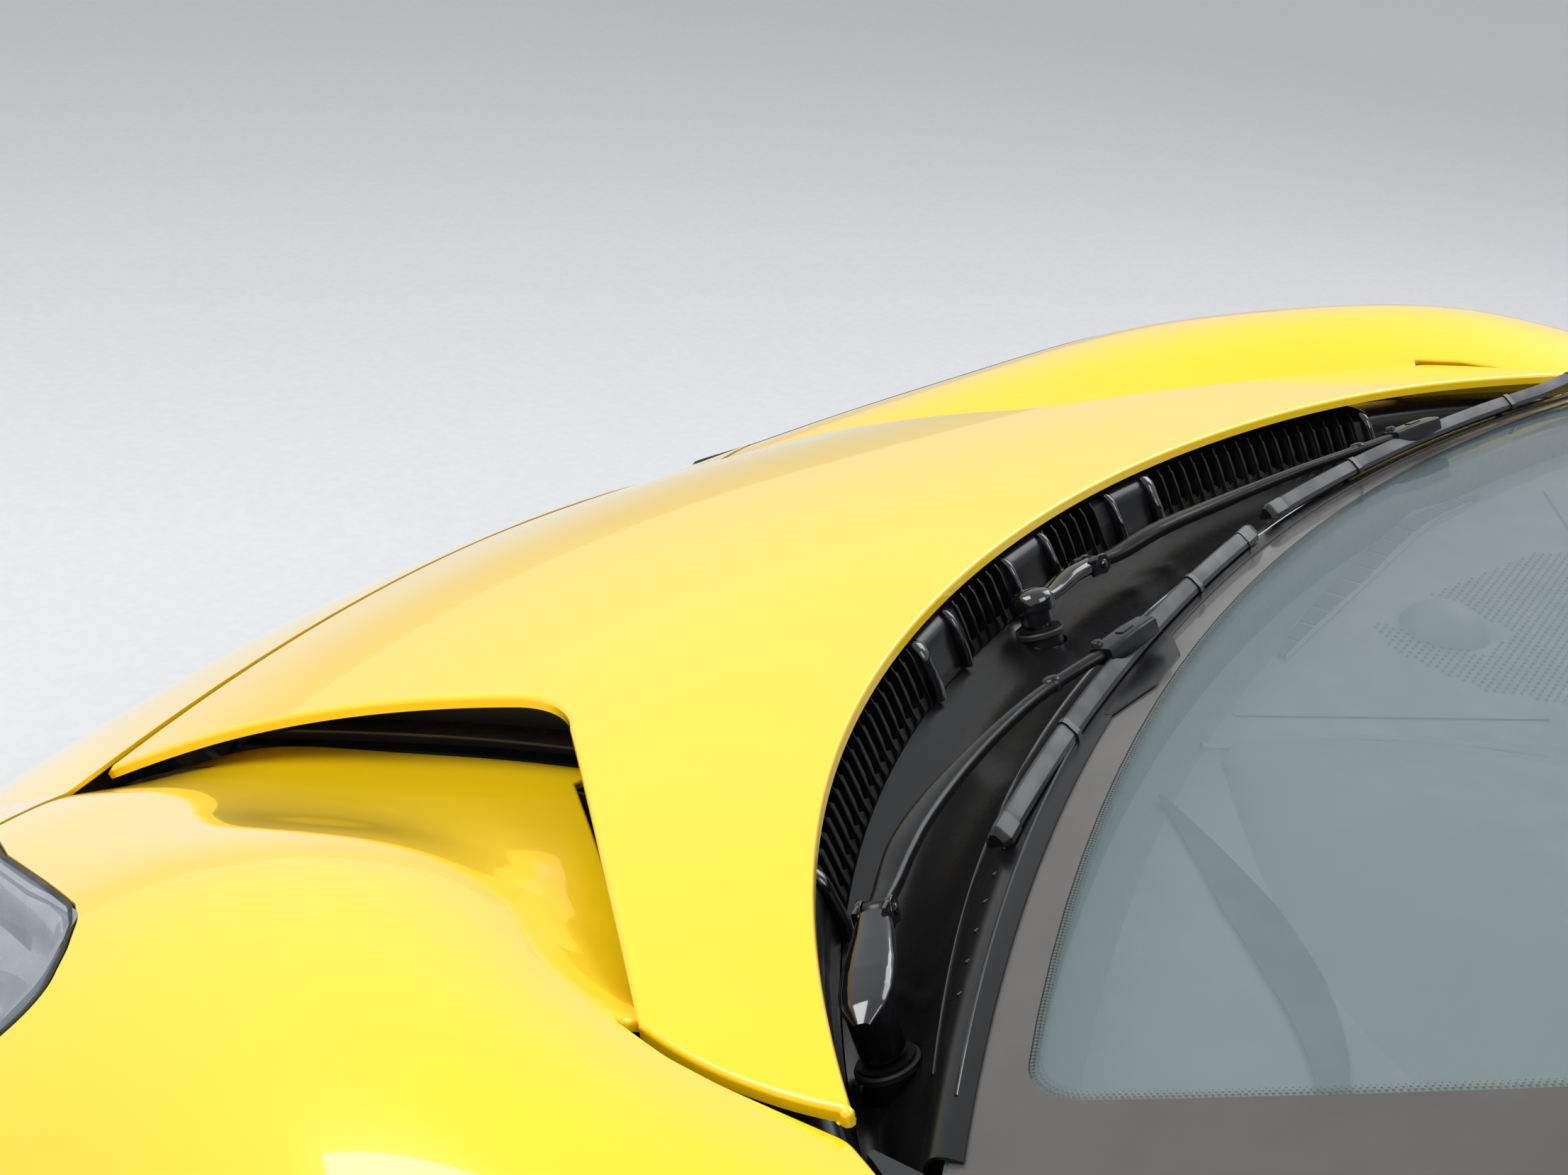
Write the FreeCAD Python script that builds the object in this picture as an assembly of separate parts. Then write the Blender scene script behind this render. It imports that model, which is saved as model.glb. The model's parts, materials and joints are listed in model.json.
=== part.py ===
import FreeCAD, Part
import math
import os

from FreeCAD import Vector

# Front body section of a coupe car: bonnet lid, wings, nose, headlamps, scuttle, wipers and windscreen.
# Millimetres. x is the car's left, y runs rearwards from the front axle line, z is height above the road.
# Everything is moved at the end so that the origin is the centre of the mounting face on the bulkhead.

# Mounting face on the bulkhead
MOUNT_Y = 480.0
MOUNT_Z = 440.0
MOUNT_SPACING_X = 900.0
MOUNT_SPACING_Z = 480.0
MOUNT_HOLE_R = 6.5

# Sheet and wall thicknesses
SKIN = 2.0
WING_SKIN = 3.0
NOSE_SKIN = 3.0
GLASS = 5.0
PLASTIC = 3.0
SHUT_GAP = 5.0
SEAT_GAP = 0.3

# Bonnet: height on the centreline and fall towards the sides (per metre, times x squared), by station
BONNET_HALF = 700.0
BONNET_STATIONS = (
    # y, top, fall
    (-560, 595, 0.26),
    (-400, 684, 0.21),
    (-200, 766, 0.14),
    (0, 822, 0.085),
    (100, 842, 0.075),
    (200, 868, 0.090),
    (340, 897, 0.100),
)
FRAME_DEPTH = 14.0
FRAME_REAR_GAP = 68.0
FLANGE_DEPTH = 16.0
FLANGE_REACH = 0.62
LID_CLEARANCE = 8.0

# Bonnet rear edge in plan: y = REAR_Y + REAR_BOW x^2 + REAR_SWEEP x^4, x in metres
REAR_Y = 77.0
REAR_BOW = 416.0
REAR_SWEEP = 311.0

# Bonnet outline in plan, one side
TIP = (673.0, 329.0)
SHUT_MID = (675.5, 262.0)
SLANT_OUTER = (661.0, 198.0)
SLANT_INNER = (408.0, -44.0)
LIP_CORNER = (380.0, -78.0)
LIP_REAR = (371.0, -120.0)
LIP_MID = (385.0, -300.0)
FRONT_CORNER = (413.0, -506.0)
FRONT_CENTRE_Y = -525.0

# Wing and nose sections. k: crease beside the outlet, c: crest, s: shoulder at the widest point
BODY_STATIONS = (
    # y, top, xk, zk, xc, zc, xs, zs, z_floor
    (-945, 285, 230, 272, 330, 255, 400, 205, 0),
    (-900, 335, 290, 315, 440, 290, 545, 225, 0),
    (-820, 405, 345, 375, 545, 345, 690, 270, 0),
    (-700, 500, 400, 458, 464, 462, 805, 330, 400),
    (-560, 595, 435, 548, 500, 552, 870, 400, 520),
    (-420, 674, 472, 630, 533, 634, 905, 455, 612),
    (-300, 727, 500, 680, 604, 695, 922, 500, 655),
    (-150, 785, 525, 738, 660, 773, 935, 540, 705),
    (0, 822, 540, 783, 683, 826, 942, 565, 745),
    (150, 850, 620, 806, 735, 854, 946, 585, 790),
    (300, 870, 672, 843, 745, 857, 946, 600, 832),
    (500, 880, 690, 850, 747, 855, 942, 600, 852),
)
FLOOR_X = 350.0
SILL_Z = 190.0
SILL_IN = 25.0
FLOOR_SAG = 6.0
WING_FRONT_Y = -700
NOSE_REAR_Y = -300
NOSE_BOTTOM = 150.0
SPLITTER_T = 12.0
UNDERTRAY_T = 4.0
WING_REAR_Y = 495.0

# Wheel arch
AXLE_Y = 20.0
AXLE_Z = 335.0
ARCH_R = 372.0
LINER_INNER_X = 560.0

# Front structure
RAIL_IN = 330.0
RAIL_W = 60.0
RAIL_Z = 340.0
RAIL_H = 70.0
RAIL_WALL = 4.0
RAIL_FRONT_Y = -690.0
BULKHEAD_T = 40.0
BULKHEAD_HALF = 655.0
BULKHEAD_Z = NOSE_BOTTOM - SPLITTER_T
SHELF_Z = 760.0
SHELF_T = 20.0
SHELF_FRONT_Y = 90.0
TRAY_FRONT_Y = -395.0
TRAY_REAR_Y = -15.0
TRAY_Z = 360.0
APRON_T = 4.0
DUCT_WALL = 6.0
VANE_RISE = 20.0
POST_W = 70.0
POST_LEN = 75.0
POST_TOP = 832.0

# Bonnet hinge, latch and striker
HINGE_Y = -600.0
HINGE_Z = 520.0
HINGE_X = 270.0
HINGE_PIN_R = 5.0
HINGE_FIT = 0.05
ARM_T = 8.0
CHEEK_T = 4.0
CHEEK_GAP = 2.0
CROSS_Y = -660.0
CROSS_W = 40.0
CROSS_TOP = 480.0
RADIATOR_HALF = 290.0
RADIATOR_T = 60.0
RADIATOR_Z = 200.0
RADIATOR_TOP = 440.0
STRIKER_X = 230.0
STRIKER_Y = 15.0
STRIKER_R = 4.0
STRIKER_LEN = 34.0
STRIKER_PLATE_R = 13.0
LATCH_HALF = 22.0
LATCH_WALL = 5.0
LATCH_GAP = 14.0

# Glass: base line y = GLASS_Y + GLASS_PLAN x^2 (x in metres), then slope and bow up the screen
GLASS_Y = 242.0
GLASS_PLAN = 300.0
GLASS_Z = 850.0
GLASS_SLOPE = 0.466
GLASS_BOW = 0.00006
GLASS_RUN = 735.0
GLASS_BASE_X = 700.0
GLASS_TOP_X = 560.0
GLASS_SIDE_MID = (650.0, 715.0)

# Scuttle
SCUTTLE_HALF = 668.0
STRIP_HALF = 680.0
RAIL_HALF = 658.0
LOUVRE_Z = 792.0
LOUVRE_FRONT = 50.0
LOUVRE_REAR = 19.0
LOUVRE_STEP = 5.0
LOUVRE_RISE = (
    # behind the bonnet edge, height over the step
    (-LOUVRE_FRONT, 14.0), (-14.0, 26.0), (4.0, 26.0), (14.0, 11.0),
)
TROUGH_DROP = (12.0, 16.0)
STRIP_RISE = 8.0
STRIP_SHARE = 0.62
POST_HOLE_GAP = 2.0
SLOT_PITCH = 15.5
SLOT_W = 10.0
SLOT_LEN = 62.0
SLOT_TURN = 0.5
LOUVRE_GROUPS = ((40, 132), (206, 470))

# Sensor pod on the dashboard
POD_X = -100.0
POD_Y = 386.0
POD_R = 38.0

# Wipers: spindle, hinge, arm bends, blade ends, on the sweep planes
LEFT_TANGENT_X = 250.0
CENTRE_TANGENT_X = -250.0
SPINDLE_R = 8.0
SPINDLE_FIT = 0.05
POST_WALL = 8.0
POST_GAP = 3.0
LIFT_PIN_R = 3.0
BARREL_R = 7.0
BARREL_HALF = 6.5
FORK_GAP = 0.5
FORK_T = 4.0
FORK_R = 8.0
ARM_H = 20.0
BLADE_BOW = 13.0


def edge_y(x):
    m = x / 1000.0
    return REAR_Y + REAR_BOW * m ** 2 + REAR_SWEEP * m ** 4


def glass_y(x):
    m = x / 1000.0
    return GLASS_Y + GLASS_PLAN * m ** 2


def glass_z(x, y):
    s = y - glass_y(x)
    return GLASS_Z + GLASS_SLOPE * s - GLASS_BOW * s * s


def line(a, b):
    return Part.LineSegment(Vector(*a), Vector(*b)).toShape()


def arc(a, b, c):
    return Part.Arc(Vector(*a), Vector(*b), Vector(*c)).toShape()


def polygon(points):
    return Part.makePolygon([Vector(*p) for p in points] + [Vector(*points[0])])


def loft(wires):
    return Part.makeLoft(wires, True, False)


def mirrored(shape):
    return shape.mirror(Vector(0, 0, 0), Vector(1, 0, 0))


def both(shape):
    return [shape, mirrored(shape)]


def box(x0, x1, y0, y1, z0, z1):
    return Part.makeBox(x1 - x0, y1 - y0, z1 - z0, Vector(x0, y0, z0))


def rounded(points, plane, level):
    """Closed wire through corners (u, v, radius) in plane "xy", "yz" or "xz" at the given level."""
    def place(u, v):
        return {"xy": (u, v, level), "yz": (level, u, v), "xz": (u, level, v)}[plane]

    edges = []
    starts = []
    n = len(points)
    for i in range(n):
        u, v, r = points[i]
        pu, pv = points[i - 1][:2]
        nu, nv = points[(i + 1) % n][:2]
        a = math.hypot(pu - u, pv - v)
        b = math.hypot(nu - u, nv - v)
        ua, va = (pu - u) / a, (pv - v) / a
        ub, vb = (nu - u) / b, (nv - v) / b
        half = 0.5 * math.acos(max(-1.0, min(1.0, ua * ub + va * vb)))
        t = min(r / math.tan(half), 0.45 * a, 0.45 * b) if r else 0.0
        r = t * math.tan(half)
        p = (u + ua * t, v + va * t)
        q = (u + ub * t, v + vb * t)
        if r:
            mu, mv = ua + ub, va + vb
            m = math.hypot(mu, mv)
            d = r / math.sin(half) - r
            edges.append(arc(place(*p), place(u + mu / m * d, v + mv / m * d), place(*q)))
        starts.append((p, q))
    joined = []
    k = 0
    for i in range(n):
        if points[i][2]:
            joined.append(edges[k])
            k += 1
        joined.append(line(place(*starts[i][1]), place(*starts[(i + 1) % n][0])))
    return Part.Wire(joined)


def prism(wire, direction):
    return Part.Face(wire).extrude(Vector(*direction))


def plan_prism(points, z0, z1):
    return prism(rounded(points, "xy", z0), (0, 0, z1 - z0))


def side_prism(points, x0, x1):
    return prism(rounded(points, "yz", x0), (x1 - x0, 0, 0))


def front_prism(points, y0, y1):
    return prism(rounded(points, "xz", y0), (0, y1 - y0, 0))


# Bonnet

def bonnet_layer(drop, depth):
    """Lofted layer under the bonnet's outer surface, from drop to drop + depth below it."""
    sections = []
    for y, top, fall in BONNET_STATIONS:
        side = top - fall * BONNET_HALF ** 2 / 1000.0
        upper = [(-BONNET_HALF, y, side - drop), (0, y, top - drop), (BONNET_HALF, y, side - drop)]
        lower = [(x, y, z - depth) for x, y, z in upper]
        sections.append(Part.Wire([
            arc(*upper),
            line(upper[2], lower[2]),
            arc(*reversed(lower)),
            line(lower[0], upper[0]),
        ]))
    return loft(sections)


def rear_edge_arcs(offset, half, z):
    """Rear edge of the bonnet as three arcs, moved rearwards by offset, out to x = half each side."""
    mid = 0.52 * half
    out = 0.5 * (mid + half)

    def at(x):
        return (x, edge_y(x) + offset, z)

    return [arc(at(-half), at(-out), at(-mid)), arc(at(-mid), at(0), at(mid)), arc(at(mid), at(out), at(half))]


def bonnet_outline(z):
    """The lid's edge in plan: rear edge, tips, shut lines, slanted outlets, lips and front edge."""
    def flip(p):
        return (-p[0], p[1])

    def at(p):
        return (p[0], p[1], z)

    tip_in = (TIP[0] - 4, edge_y(TIP[0] - 4))
    tip_out = (TIP[0] + 1, TIP[1] - 7)
    corner = (FRONT_CORNER[0] - 6, FRONT_CORNER[1] - 1)
    side = [
        (tip_in, TIP, tip_out),
        (tip_out, SHUT_MID, SLANT_OUTER),
        (SLANT_OUTER, None, SLANT_INNER),
        (SLANT_INNER, LIP_CORNER, LIP_REAR),
        (LIP_REAR, LIP_MID, FRONT_CORNER),
        (FRONT_CORNER, None, corner),
    ]
    edges = rear_edge_arcs(0, tip_in[0], z)
    for a, m, b in side:
        edges.append(arc(at(a), at(m), at(b)) if m else line(at(a), at(b)))
    edges.append(arc(at(corner), (0, FRONT_CENTRE_Y, z), at(flip(corner))))
    for a, m, b in reversed(side):
        a, b = flip(b), flip(a)
        edges.append(arc(at(a), at(flip(m)), at(b)) if m else line(at(a), at(b)))
    return Part.Wire(Part.__sortEdges__(edges))


def make_bonnet():
    skin = bonnet_layer(0, SKIN).common(prism(bonnet_outline(300), (0, 0, 800)))
    x0, y0 = SLANT_INNER
    x1 = x0 + FLANGE_REACH * (SLANT_OUTER[0] - x0)
    y1 = y0 + FLANGE_REACH * (SLANT_OUTER[1] - y0)
    wall = plan_prism([(x1 + 2, y1 - 1, 0), (x0 + 5, y0 + 2, 0), (x0 + 3, y0 + 5, 0), (x1, y1 + 2, 0)], 300, 1100)
    wall = wall.common(bonnet_layer(SKIN, FLANGE_DEPTH - SKIN))
    return skin.fuse(both(wall))


def make_bonnet_frame():
    rear = [(x, edge_y(x) - FRAME_REAR_GAP, 12) for x in (540, 400, 200, 0, -200, -400, -540)]
    outline = [(-345, -452, 25), (345, -452, 25), (325, -96, 60), (570, 148, 20)] + rear
    outline += [(-570, 148, 20), (-325, -96, 60)]
    pockets = []
    for x0, x1, y0, y1 in ((-120, 120, -400, -40), (170, 290, -400, -60), (-290, -170, -400, -60)):
        pockets.append(plan_prism([(x0, y0, 22), (x1, y0, 22), (x1, y1, 22), (x0, y1, 22)], 300, 1100))
    return bonnet_layer(SKIN, FRAME_DEPTH).common(plan_prism(outline, 300, 1100).cut(pockets))


def above_lid(drop):
    """Space above a surface that lies drop below the bonnet's outside."""
    return bonnet_layer(drop - 500, 500)


def make_hinge_arms():
    arm = side_prism([
        (HINGE_Y - 14, HINGE_Z - 2, 11),
        (HINGE_Y - 2, HINGE_Z - 18, 12),
        (HINGE_Y + 150, HINGE_Z - 52, 18),
        (HINGE_Y + 186, HINGE_Z - 30, 18),
        (HINGE_Y + 190, HINGE_Z + 160, 0),
        (HINGE_Y + 152, HINGE_Z + 160, 0),
        (HINGE_Y + 152, HINGE_Z - 10, 14),
        (HINGE_Y + 138, HINGE_Z - 26, 10),
        (HINGE_Y + 8, HINGE_Z + 16, 12),
        (HINGE_Y - 10, HINGE_Z + 14, 11),
    ], HINGE_X - ARM_T / 2, HINGE_X + ARM_T / 2)
    bore = Part.makeCylinder(HINGE_PIN_R + HINGE_FIT, 4 * ARM_T,
                             Vector(HINGE_X - 2 * ARM_T, HINGE_Y, HINGE_Z), Vector(1, 0, 0))
    arm = arm.cut(bore).cut(above_lid(SKIN + FRAME_DEPTH))
    return both(arm)


def make_hinge_brackets():
    inner = HINGE_X - ARM_T / 2 - CHEEK_GAP
    outer = HINGE_X + ARM_T / 2 + CHEEK_GAP
    profile = [
        (CROSS_Y + 2, CROSS_TOP, 0),
        (CROSS_Y + CROSS_W - 2, CROSS_TOP, 0),
        (HINGE_Y + 14, HINGE_Z - 4, 9),
        (HINGE_Y + 8, HINGE_Z + 13, 9),
        (HINGE_Y - 12, HINGE_Z + 13, 9),
    ]
    cheeks = [side_prism(profile, inner - CHEEK_T, inner), side_prism(profile, outer, outer + CHEEK_T)]
    pin = Part.makeCylinder(HINGE_PIN_R, outer - inner + 2 * CHEEK_T,
                            Vector(inner - CHEEK_T, HINGE_Y, HINGE_Z), Vector(1, 0, 0))
    foot = box(inner - CHEEK_T, outer + CHEEK_T, CROSS_Y + 2, CROSS_Y + CROSS_W - 2, CROSS_TOP, CROSS_TOP + CHEEK_T)
    return both(cheeks[0].fuse([cheeks[1], pin, foot]))


def lid_under(x, y):
    """Height of the lid frame's underside."""
    low = BONNET_STATIONS[0]
    for a, b in zip(BONNET_STATIONS, BONNET_STATIONS[1:]):
        if a[0] <= y <= b[0]:
            t = (y - a[0]) / (b[0] - a[0])
            low = [p + (q - p) * t for p, q in zip(a, b)]
    return low[1] - low[2] * x * x / 1000.0 - SKIN - FRAME_DEPTH


def make_strikers():
    seat = lid_under(STRIKER_X, STRIKER_Y)
    pin = Part.makeCylinder(STRIKER_R, STRIKER_LEN + FRAME_DEPTH, Vector(STRIKER_X, STRIKER_Y, seat - STRIKER_LEN))
    plate = Part.makeCylinder(STRIKER_PLATE_R, FRAME_DEPTH, Vector(STRIKER_X, STRIKER_Y, seat - 4))
    return both(pin.fuse(plate).cut(above_lid(SKIN + FRAME_DEPTH)))


def make_latches():
    top = lid_under(STRIKER_X, STRIKER_Y) - LATCH_GAP
    low = SHELF_Z - SHELF_T
    slot_half = STRIKER_R + LATCH_WALL
    front = STRIKER_Y - LATCH_HALF - 4
    body = box(STRIKER_X - LATCH_HALF, STRIKER_X + LATCH_HALF, front, SHELF_FRONT_Y, low, top)
    slot = box(STRIKER_X - slot_half, STRIKER_X + slot_half, front + LATCH_WALL, STRIKER_Y + slot_half,
               low + LATCH_WALL, top + 1)
    return both(body.cut(slot))


# Wings and nose

def wing_section(y, top, xk, zk, xc, zc, xs, zs, zf, t):
    """Points of the wing at one station, t inside its outer surface: outlet floor, crease, crest, shoulder, sill."""
    return [
        (FLOOR_X, y, zf - t),
        (0.5 * (FLOOR_X + xk), y, 0.5 * (zf + zk) - FLOOR_SAG - t),
        (xk, y, zk - t),
        (xc - 0.2 * t, y, zc - t),
        (xs - t, y, zs - 0.2 * t),
        (xs + 4 - t, y, 0.55 * zs + 0.45 * SILL_Z),
        (xs - SILL_IN - t, y, SILL_Z),
    ]


def wing_loft(t_out, t_in):
    sections = []
    for row in BODY_STATIONS:
        if row[0] < WING_FRONT_Y:
            continue
        o = wing_section(*row, t_out)
        i = wing_section(*row, t_in)
        sections.append(Part.Wire([
            arc(o[0], o[1], o[2]), arc(o[2], o[3], o[4]), arc(o[4], o[5], o[6]),
            line(o[6], i[6]),
            arc(i[6], i[5], i[4]), arc(i[4], i[3], i[2]), arc(i[2], i[1], i[0]),
            line(i[0], o[0]),
        ]))
    return loft(sections)


def above_wing():
    """Space over and outside a surface just inside the wing's skin."""
    sections = []
    for row in BODY_STATIONS:
        if row[0] < WING_FRONT_Y:
            continue
        i = wing_section(*row, WING_SKIN + SEAT_GAP)
        y = row[0]
        far = 1100
        sections.append(Part.Wire([
            arc(i[0], i[1], i[2]), arc(i[2], i[3], i[4]), arc(i[4], i[5], i[6]),
            line(i[6], (far, y, SILL_Z)),
            line((far, y, SILL_Z), (far, y, far)),
            line((far, y, far), (FLOOR_X, y, far)),
            line((FLOOR_X, y, far), i[0]),
        ]))
    return loft(sections)


LAMP_OUTLINE = (
    # x, y, corner radius
    (596, -393, 60), (651, -281, 60), (703, -168, 26), (760, -132, 40), (808, -136, 40), (828, -250, 60),
    (815, -470, 60), (775, -640, 40), (672, -688, 30), (560, -600, 30), (531, -500, 20),
)


def lamp_prism(offset, z0, z1):
    wire = rounded(LAMP_OUTLINE, "xy", z0)
    if offset:
        wire = wire.makeOffset2D(offset)
    return prism(wire, (0, 0, z1 - z0))


def nose_region(gap):
    """Plan area and side area that belong to the nose panel, grown rearwards by gap."""
    front = [(-1100, -1100, 0), (1100, -1100, 0), (1100, -430 + gap, 0), (700, -430 + gap, 0),
             (600, -512 + gap, 0), (FRONT_CORNER[0] + 6, FRONT_CORNER[1] - SHUT_GAP - 1 + gap, 0)]
    steps = 6
    rear = []
    for i in range(1, steps):
        x = FRONT_CORNER[0] * (1 - 2 * i / steps)
        y = FRONT_CENTRE_Y + (FRONT_CORNER[1] - FRONT_CENTRE_Y) * (x / FRONT_CORNER[0]) ** 2
        rear.append((x, y - SHUT_GAP + gap, 0))
    back = [(-FRONT_CORNER[0] - 6, FRONT_CORNER[1] - SHUT_GAP - 1 + gap, 0), (-600, -512 + gap, 0),
            (-700, -430 + gap, 0), (-1100, -430 + gap, 0)]
    plan = plan_prism(front + rear + back, 0, 1200)
    side = [(-1000, 0, 0), (-330 + gap, 0, 0), (-345 + gap, 430, 0), (-430 + gap, 590 + gap, 0), (-1000, 590 + gap, 0)]
    flank = side_prism(side, 700, 1100)
    return plan.fuse([flank, side_prism(side, -1100, -700)])


def wing_inner_region():
    """Plan area inboard of the wing: under the lid behind the outlet, and beside the pillar."""
    g = SHUT_GAP
    return plan_prism([
        (0, -60, 0), (SLANT_INNER[0] - 30, -60, 0),
        (SLANT_OUTER[0] - 16, SLANT_OUTER[1], 0),
        (SLANT_OUTER[0] + g, SLANT_OUTER[1] - 9, 0),
        (SHUT_MID[0] + g - 2, 0.5 * (SHUT_MID[1] + SLANT_OUTER[1]), 60),
        (SHUT_MID[0] + g + 1, SHUT_MID[1], 60),
        (TIP[0] + g + 4, TIP[1] + 5, 20),
        (712, 378, 60), (735, 450, 60), (748, 600, 0), (0, 600, 0),
    ], 300, 1100)


def arch_cylinder(r, x0, x1):
    return Part.makeCylinder(r, x1 - x0, Vector(x0, AXLE_Y, AXLE_Z), Vector(1, 0, 0))


def make_wing(full):
    wing = full.cut(nose_region(SHUT_GAP))
    wing = wing.cut(lamp_prism(3, 100, 1000))
    wing = wing.cut(wing_inner_region())
    wing = wing.cut(arch_cylinder(ARCH_R, 500, 1000))
    wing = wing.cut(box(300, 1000, WING_REAR_Y, 700, 0, 1200))
    return biggest(wing)


def biggest(shape):
    return max(shape.Solids, key=lambda s: s.Volume)


def nose_section(row, t, shift):
    y, top, xk, zk, xc, zc, xs, zs, zf = row
    y = y + shift
    low = NOSE_BOTTOM if not t else NOSE_BOTTOM - 50
    k, c, s = (xk - 0.3 * t, zk - t), (xc - 0.5 * t, zc - t), (xs - t, zs - 0.3 * t)
    d = (xs + 2 - t, 0.6 * zs + 0.4 * NOSE_BOTTOM)
    b = (xs - 12 - t, low)
    right = [arc((k[0], y, k[1]), (c[0], y, c[1]), (s[0], y, s[1])),
             arc((s[0], y, s[1]), (d[0], y, d[1]), (b[0], y, b[1]))]
    left = [arc((-b[0], y, b[1]), (-d[0], y, d[1]), (-s[0], y, s[1])),
            arc((-s[0], y, s[1]), (-c[0], y, c[1]), (-k[0], y, k[1]))]
    crown = arc((-k[0], y, k[1]), (0, y, top - t), (k[0], y, k[1]))
    return Part.Wire([crown] + right + [line((b[0], y, b[1]), (-b[0], y, b[1]))] + left)


def nose_solid(t):
    """The nose as a full solid, t inside its outer surface."""
    return loft([nose_section(r, t, t) for r in BODY_STATIONS if r[0] <= NOSE_REAR_Y])


def make_nose():
    nose = nose_solid(0).cut(nose_solid(NOSE_SKIN)).common(nose_region(0))
    for lamp in both(lamp_prism(3, 100, 1000)):
        nose = nose.cut(lamp)
    for arch in both(arch_cylinder(ARCH_R, 500, 1000)):
        nose = nose.cut(arch)
    nose = nose.cut(centre_opening(0, -1000, -780))
    for side in both(side_opening(0, -1000, -500)):
        nose = nose.cut(side)
    return biggest(nose)


GRILLE_RIM = 6.0
GRILLE_BAR = 3.0
GRILLE_PITCH = 16.0
GRILLE_VANE_PITCH = 34.0
GRILLE_BACK_Y = -740.0


def centre_opening(grow, y0, y1):
    g = grow
    return front_prism([(-300 - g, 172 - g, 14), (300 + g, 172 - g, 14), (268 + g, 238 + g, 18),
                        (-268 - g, 238 + g, 18)], y0, y1)


def side_opening(grow, y0, y1):
    g = grow
    return front_prism([(470 - g, 176 - g, 14), (745 + g, 176 - g, 14), (700 + g, 268 + g, 18),
                        (500 - g, 232 + g, 18)], y0, y1)


def make_centre_grille():
    face = BODY_STATIONS[0][0] + NOSE_SKIN
    frame = centre_opening(GRILLE_RIM, face, face + 12).cut(centre_opening(-GRILLE_RIM, face - 1, face + 20))
    hole = centre_opening(0, -1000, -800)
    parts = []
    for i in range(4):
        z = 182 + GRILLE_PITCH * i
        parts.append(box(-300, 300, face, face + 24, z, z + GRILLE_BAR).common(hole))
    for x in range(-240, 241, 60):
        parts.append(box(x - 1.5, x + 1.5, face + 3, face + 20, 172, 238).common(hole))
    return frame.fuse(parts)


def make_side_grilles():
    rim = side_opening(GRILLE_RIM, -1000, GRILLE_BACK_Y).cut(side_opening(0, -1001, -700))
    vanes = []
    for i in range(7):
        x = 500 + GRILLE_VANE_PITCH * i
        vane = box(x, x + GRILLE_BAR + 1, -1000, GRILLE_BACK_Y, 150, 330).common(side_opening(1, -1001, -700))
        vanes.append(vane.cut(box(x - 1, x + 9, -1001, GRILLE_BACK_Y - 50, 150, 330)))
    whole = rim.common(nose_solid(NOSE_SKIN)).fuse(vanes)
    return both(biggest(whole))


SPLITTER_OUTLINE = (
    # outer x, outer y, inner x, inner y, corner radius
    (330, -966, 260, -886, 20),
    (440, -945, 370, -865, 20),
    (590, -890, 520, -810, 20),
    (720, -800, 650, -720, 20),
    (832, -680, 762, -600, 20),
    (880, -560, 810, -480, 20),
    (905, -430, 835, -430, 0),
)


def make_splitter():
    right = []
    left = []
    for x, y, ix, iy, r in SPLITTER_OUTLINE:
        right.append((x, y, r))
        left.append((ix, iy, r))
    half = right + left[::-1]
    points = half + [(-x, y, r) for x, y, r in half[::-1]]
    return plan_prism(points, NOSE_BOTTOM - SPLITTER_T, NOSE_BOTTOM)


# Headlamps

LAMP_FLOOR_Z = 350.0
LAMP_TOP_Z = 800.0
LAMP_MODULES = (
    # x, y, top, radius
    (742, -224, 690, 30), (690, -350, 610, 34), (700, -455, 545, 34), (705, -560, 475, 34),
)


def make_lamp(full):
    return biggest(full.common(lamp_prism(0, 100, 1000)))


def make_lamp_housing(space):
    shell = lamp_prism(-2, LAMP_FLOOR_Z, LAMP_TOP_Z).cut(lamp_prism(-6, LAMP_FLOOR_Z + 6, LAMP_TOP_Z))
    shell = biggest(shell.cut(space).cut(arch_cylinder(ARCH_R + 1, 400, 1000)))
    low = LAMP_FLOOR_Z + 90
    bracket = box(RAIL_IN + RAIL_W, 536, -555, -500, low, low + 6).cut(lamp_prism(-3, 100, 1000))
    return shell.fuse(bracket)


def make_lamp_modules(space):
    blocks = []
    seat = LAMP_FLOOR_Z + 6
    for x, y, z, r in LAMP_MODULES:
        body = Part.makeCylinder(r, z - seat, Vector(x, y, seat)).cut(Part.makeSphere(r - 5, Vector(x, y, z + 14)))
        blocks.append(biggest(body.cut(space).cut(arch_cylinder(ARCH_R + SEAT_GAP, 400, 1000))))
    return blocks


# Structure

def make_bulkhead():
    front = MOUNT_Y - BULKHEAD_T
    under = SHELF_Z - SHELF_T
    profile = [(front, BULKHEAD_Z, 0), (MOUNT_Y, BULKHEAD_Z, 0), (MOUNT_Y, SHELF_Z, 0), (SHELF_FRONT_Y, SHELF_Z, 0),
               (SHELF_FRONT_Y, under, 0), (front, under, 0)]
    body = side_prism(profile, -BULKHEAD_HALF, BULKHEAD_HALF)
    for sx in (-0.5, 0.5):
        for sz in (-0.5, 0.5):
            place = Vector(sx * MOUNT_SPACING_X, front - 1, MOUNT_Z + sz * MOUNT_SPACING_Z)
            body = body.cut(Part.makeCylinder(MOUNT_HOLE_R, BULKHEAD_T + 2, place, Vector(0, 1, 0)))
    return body


def make_rails():
    w = RAIL_WALL
    rear = MOUNT_Y - BULKHEAD_T
    rail = box(RAIL_IN, RAIL_IN + RAIL_W, RAIL_FRONT_Y, rear, RAIL_Z, RAIL_Z + RAIL_H)
    hollow = box(RAIL_IN + w, RAIL_IN + RAIL_W - w, RAIL_FRONT_Y - 1, rear - w, RAIL_Z + w, RAIL_Z + RAIL_H - w)
    return both(rail.cut(hollow))


def make_crossmember():
    return box(-RAIL_IN, RAIL_IN, CROSS_Y, CROSS_Y + CROSS_W, RAIL_Z, CROSS_TOP)


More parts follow.
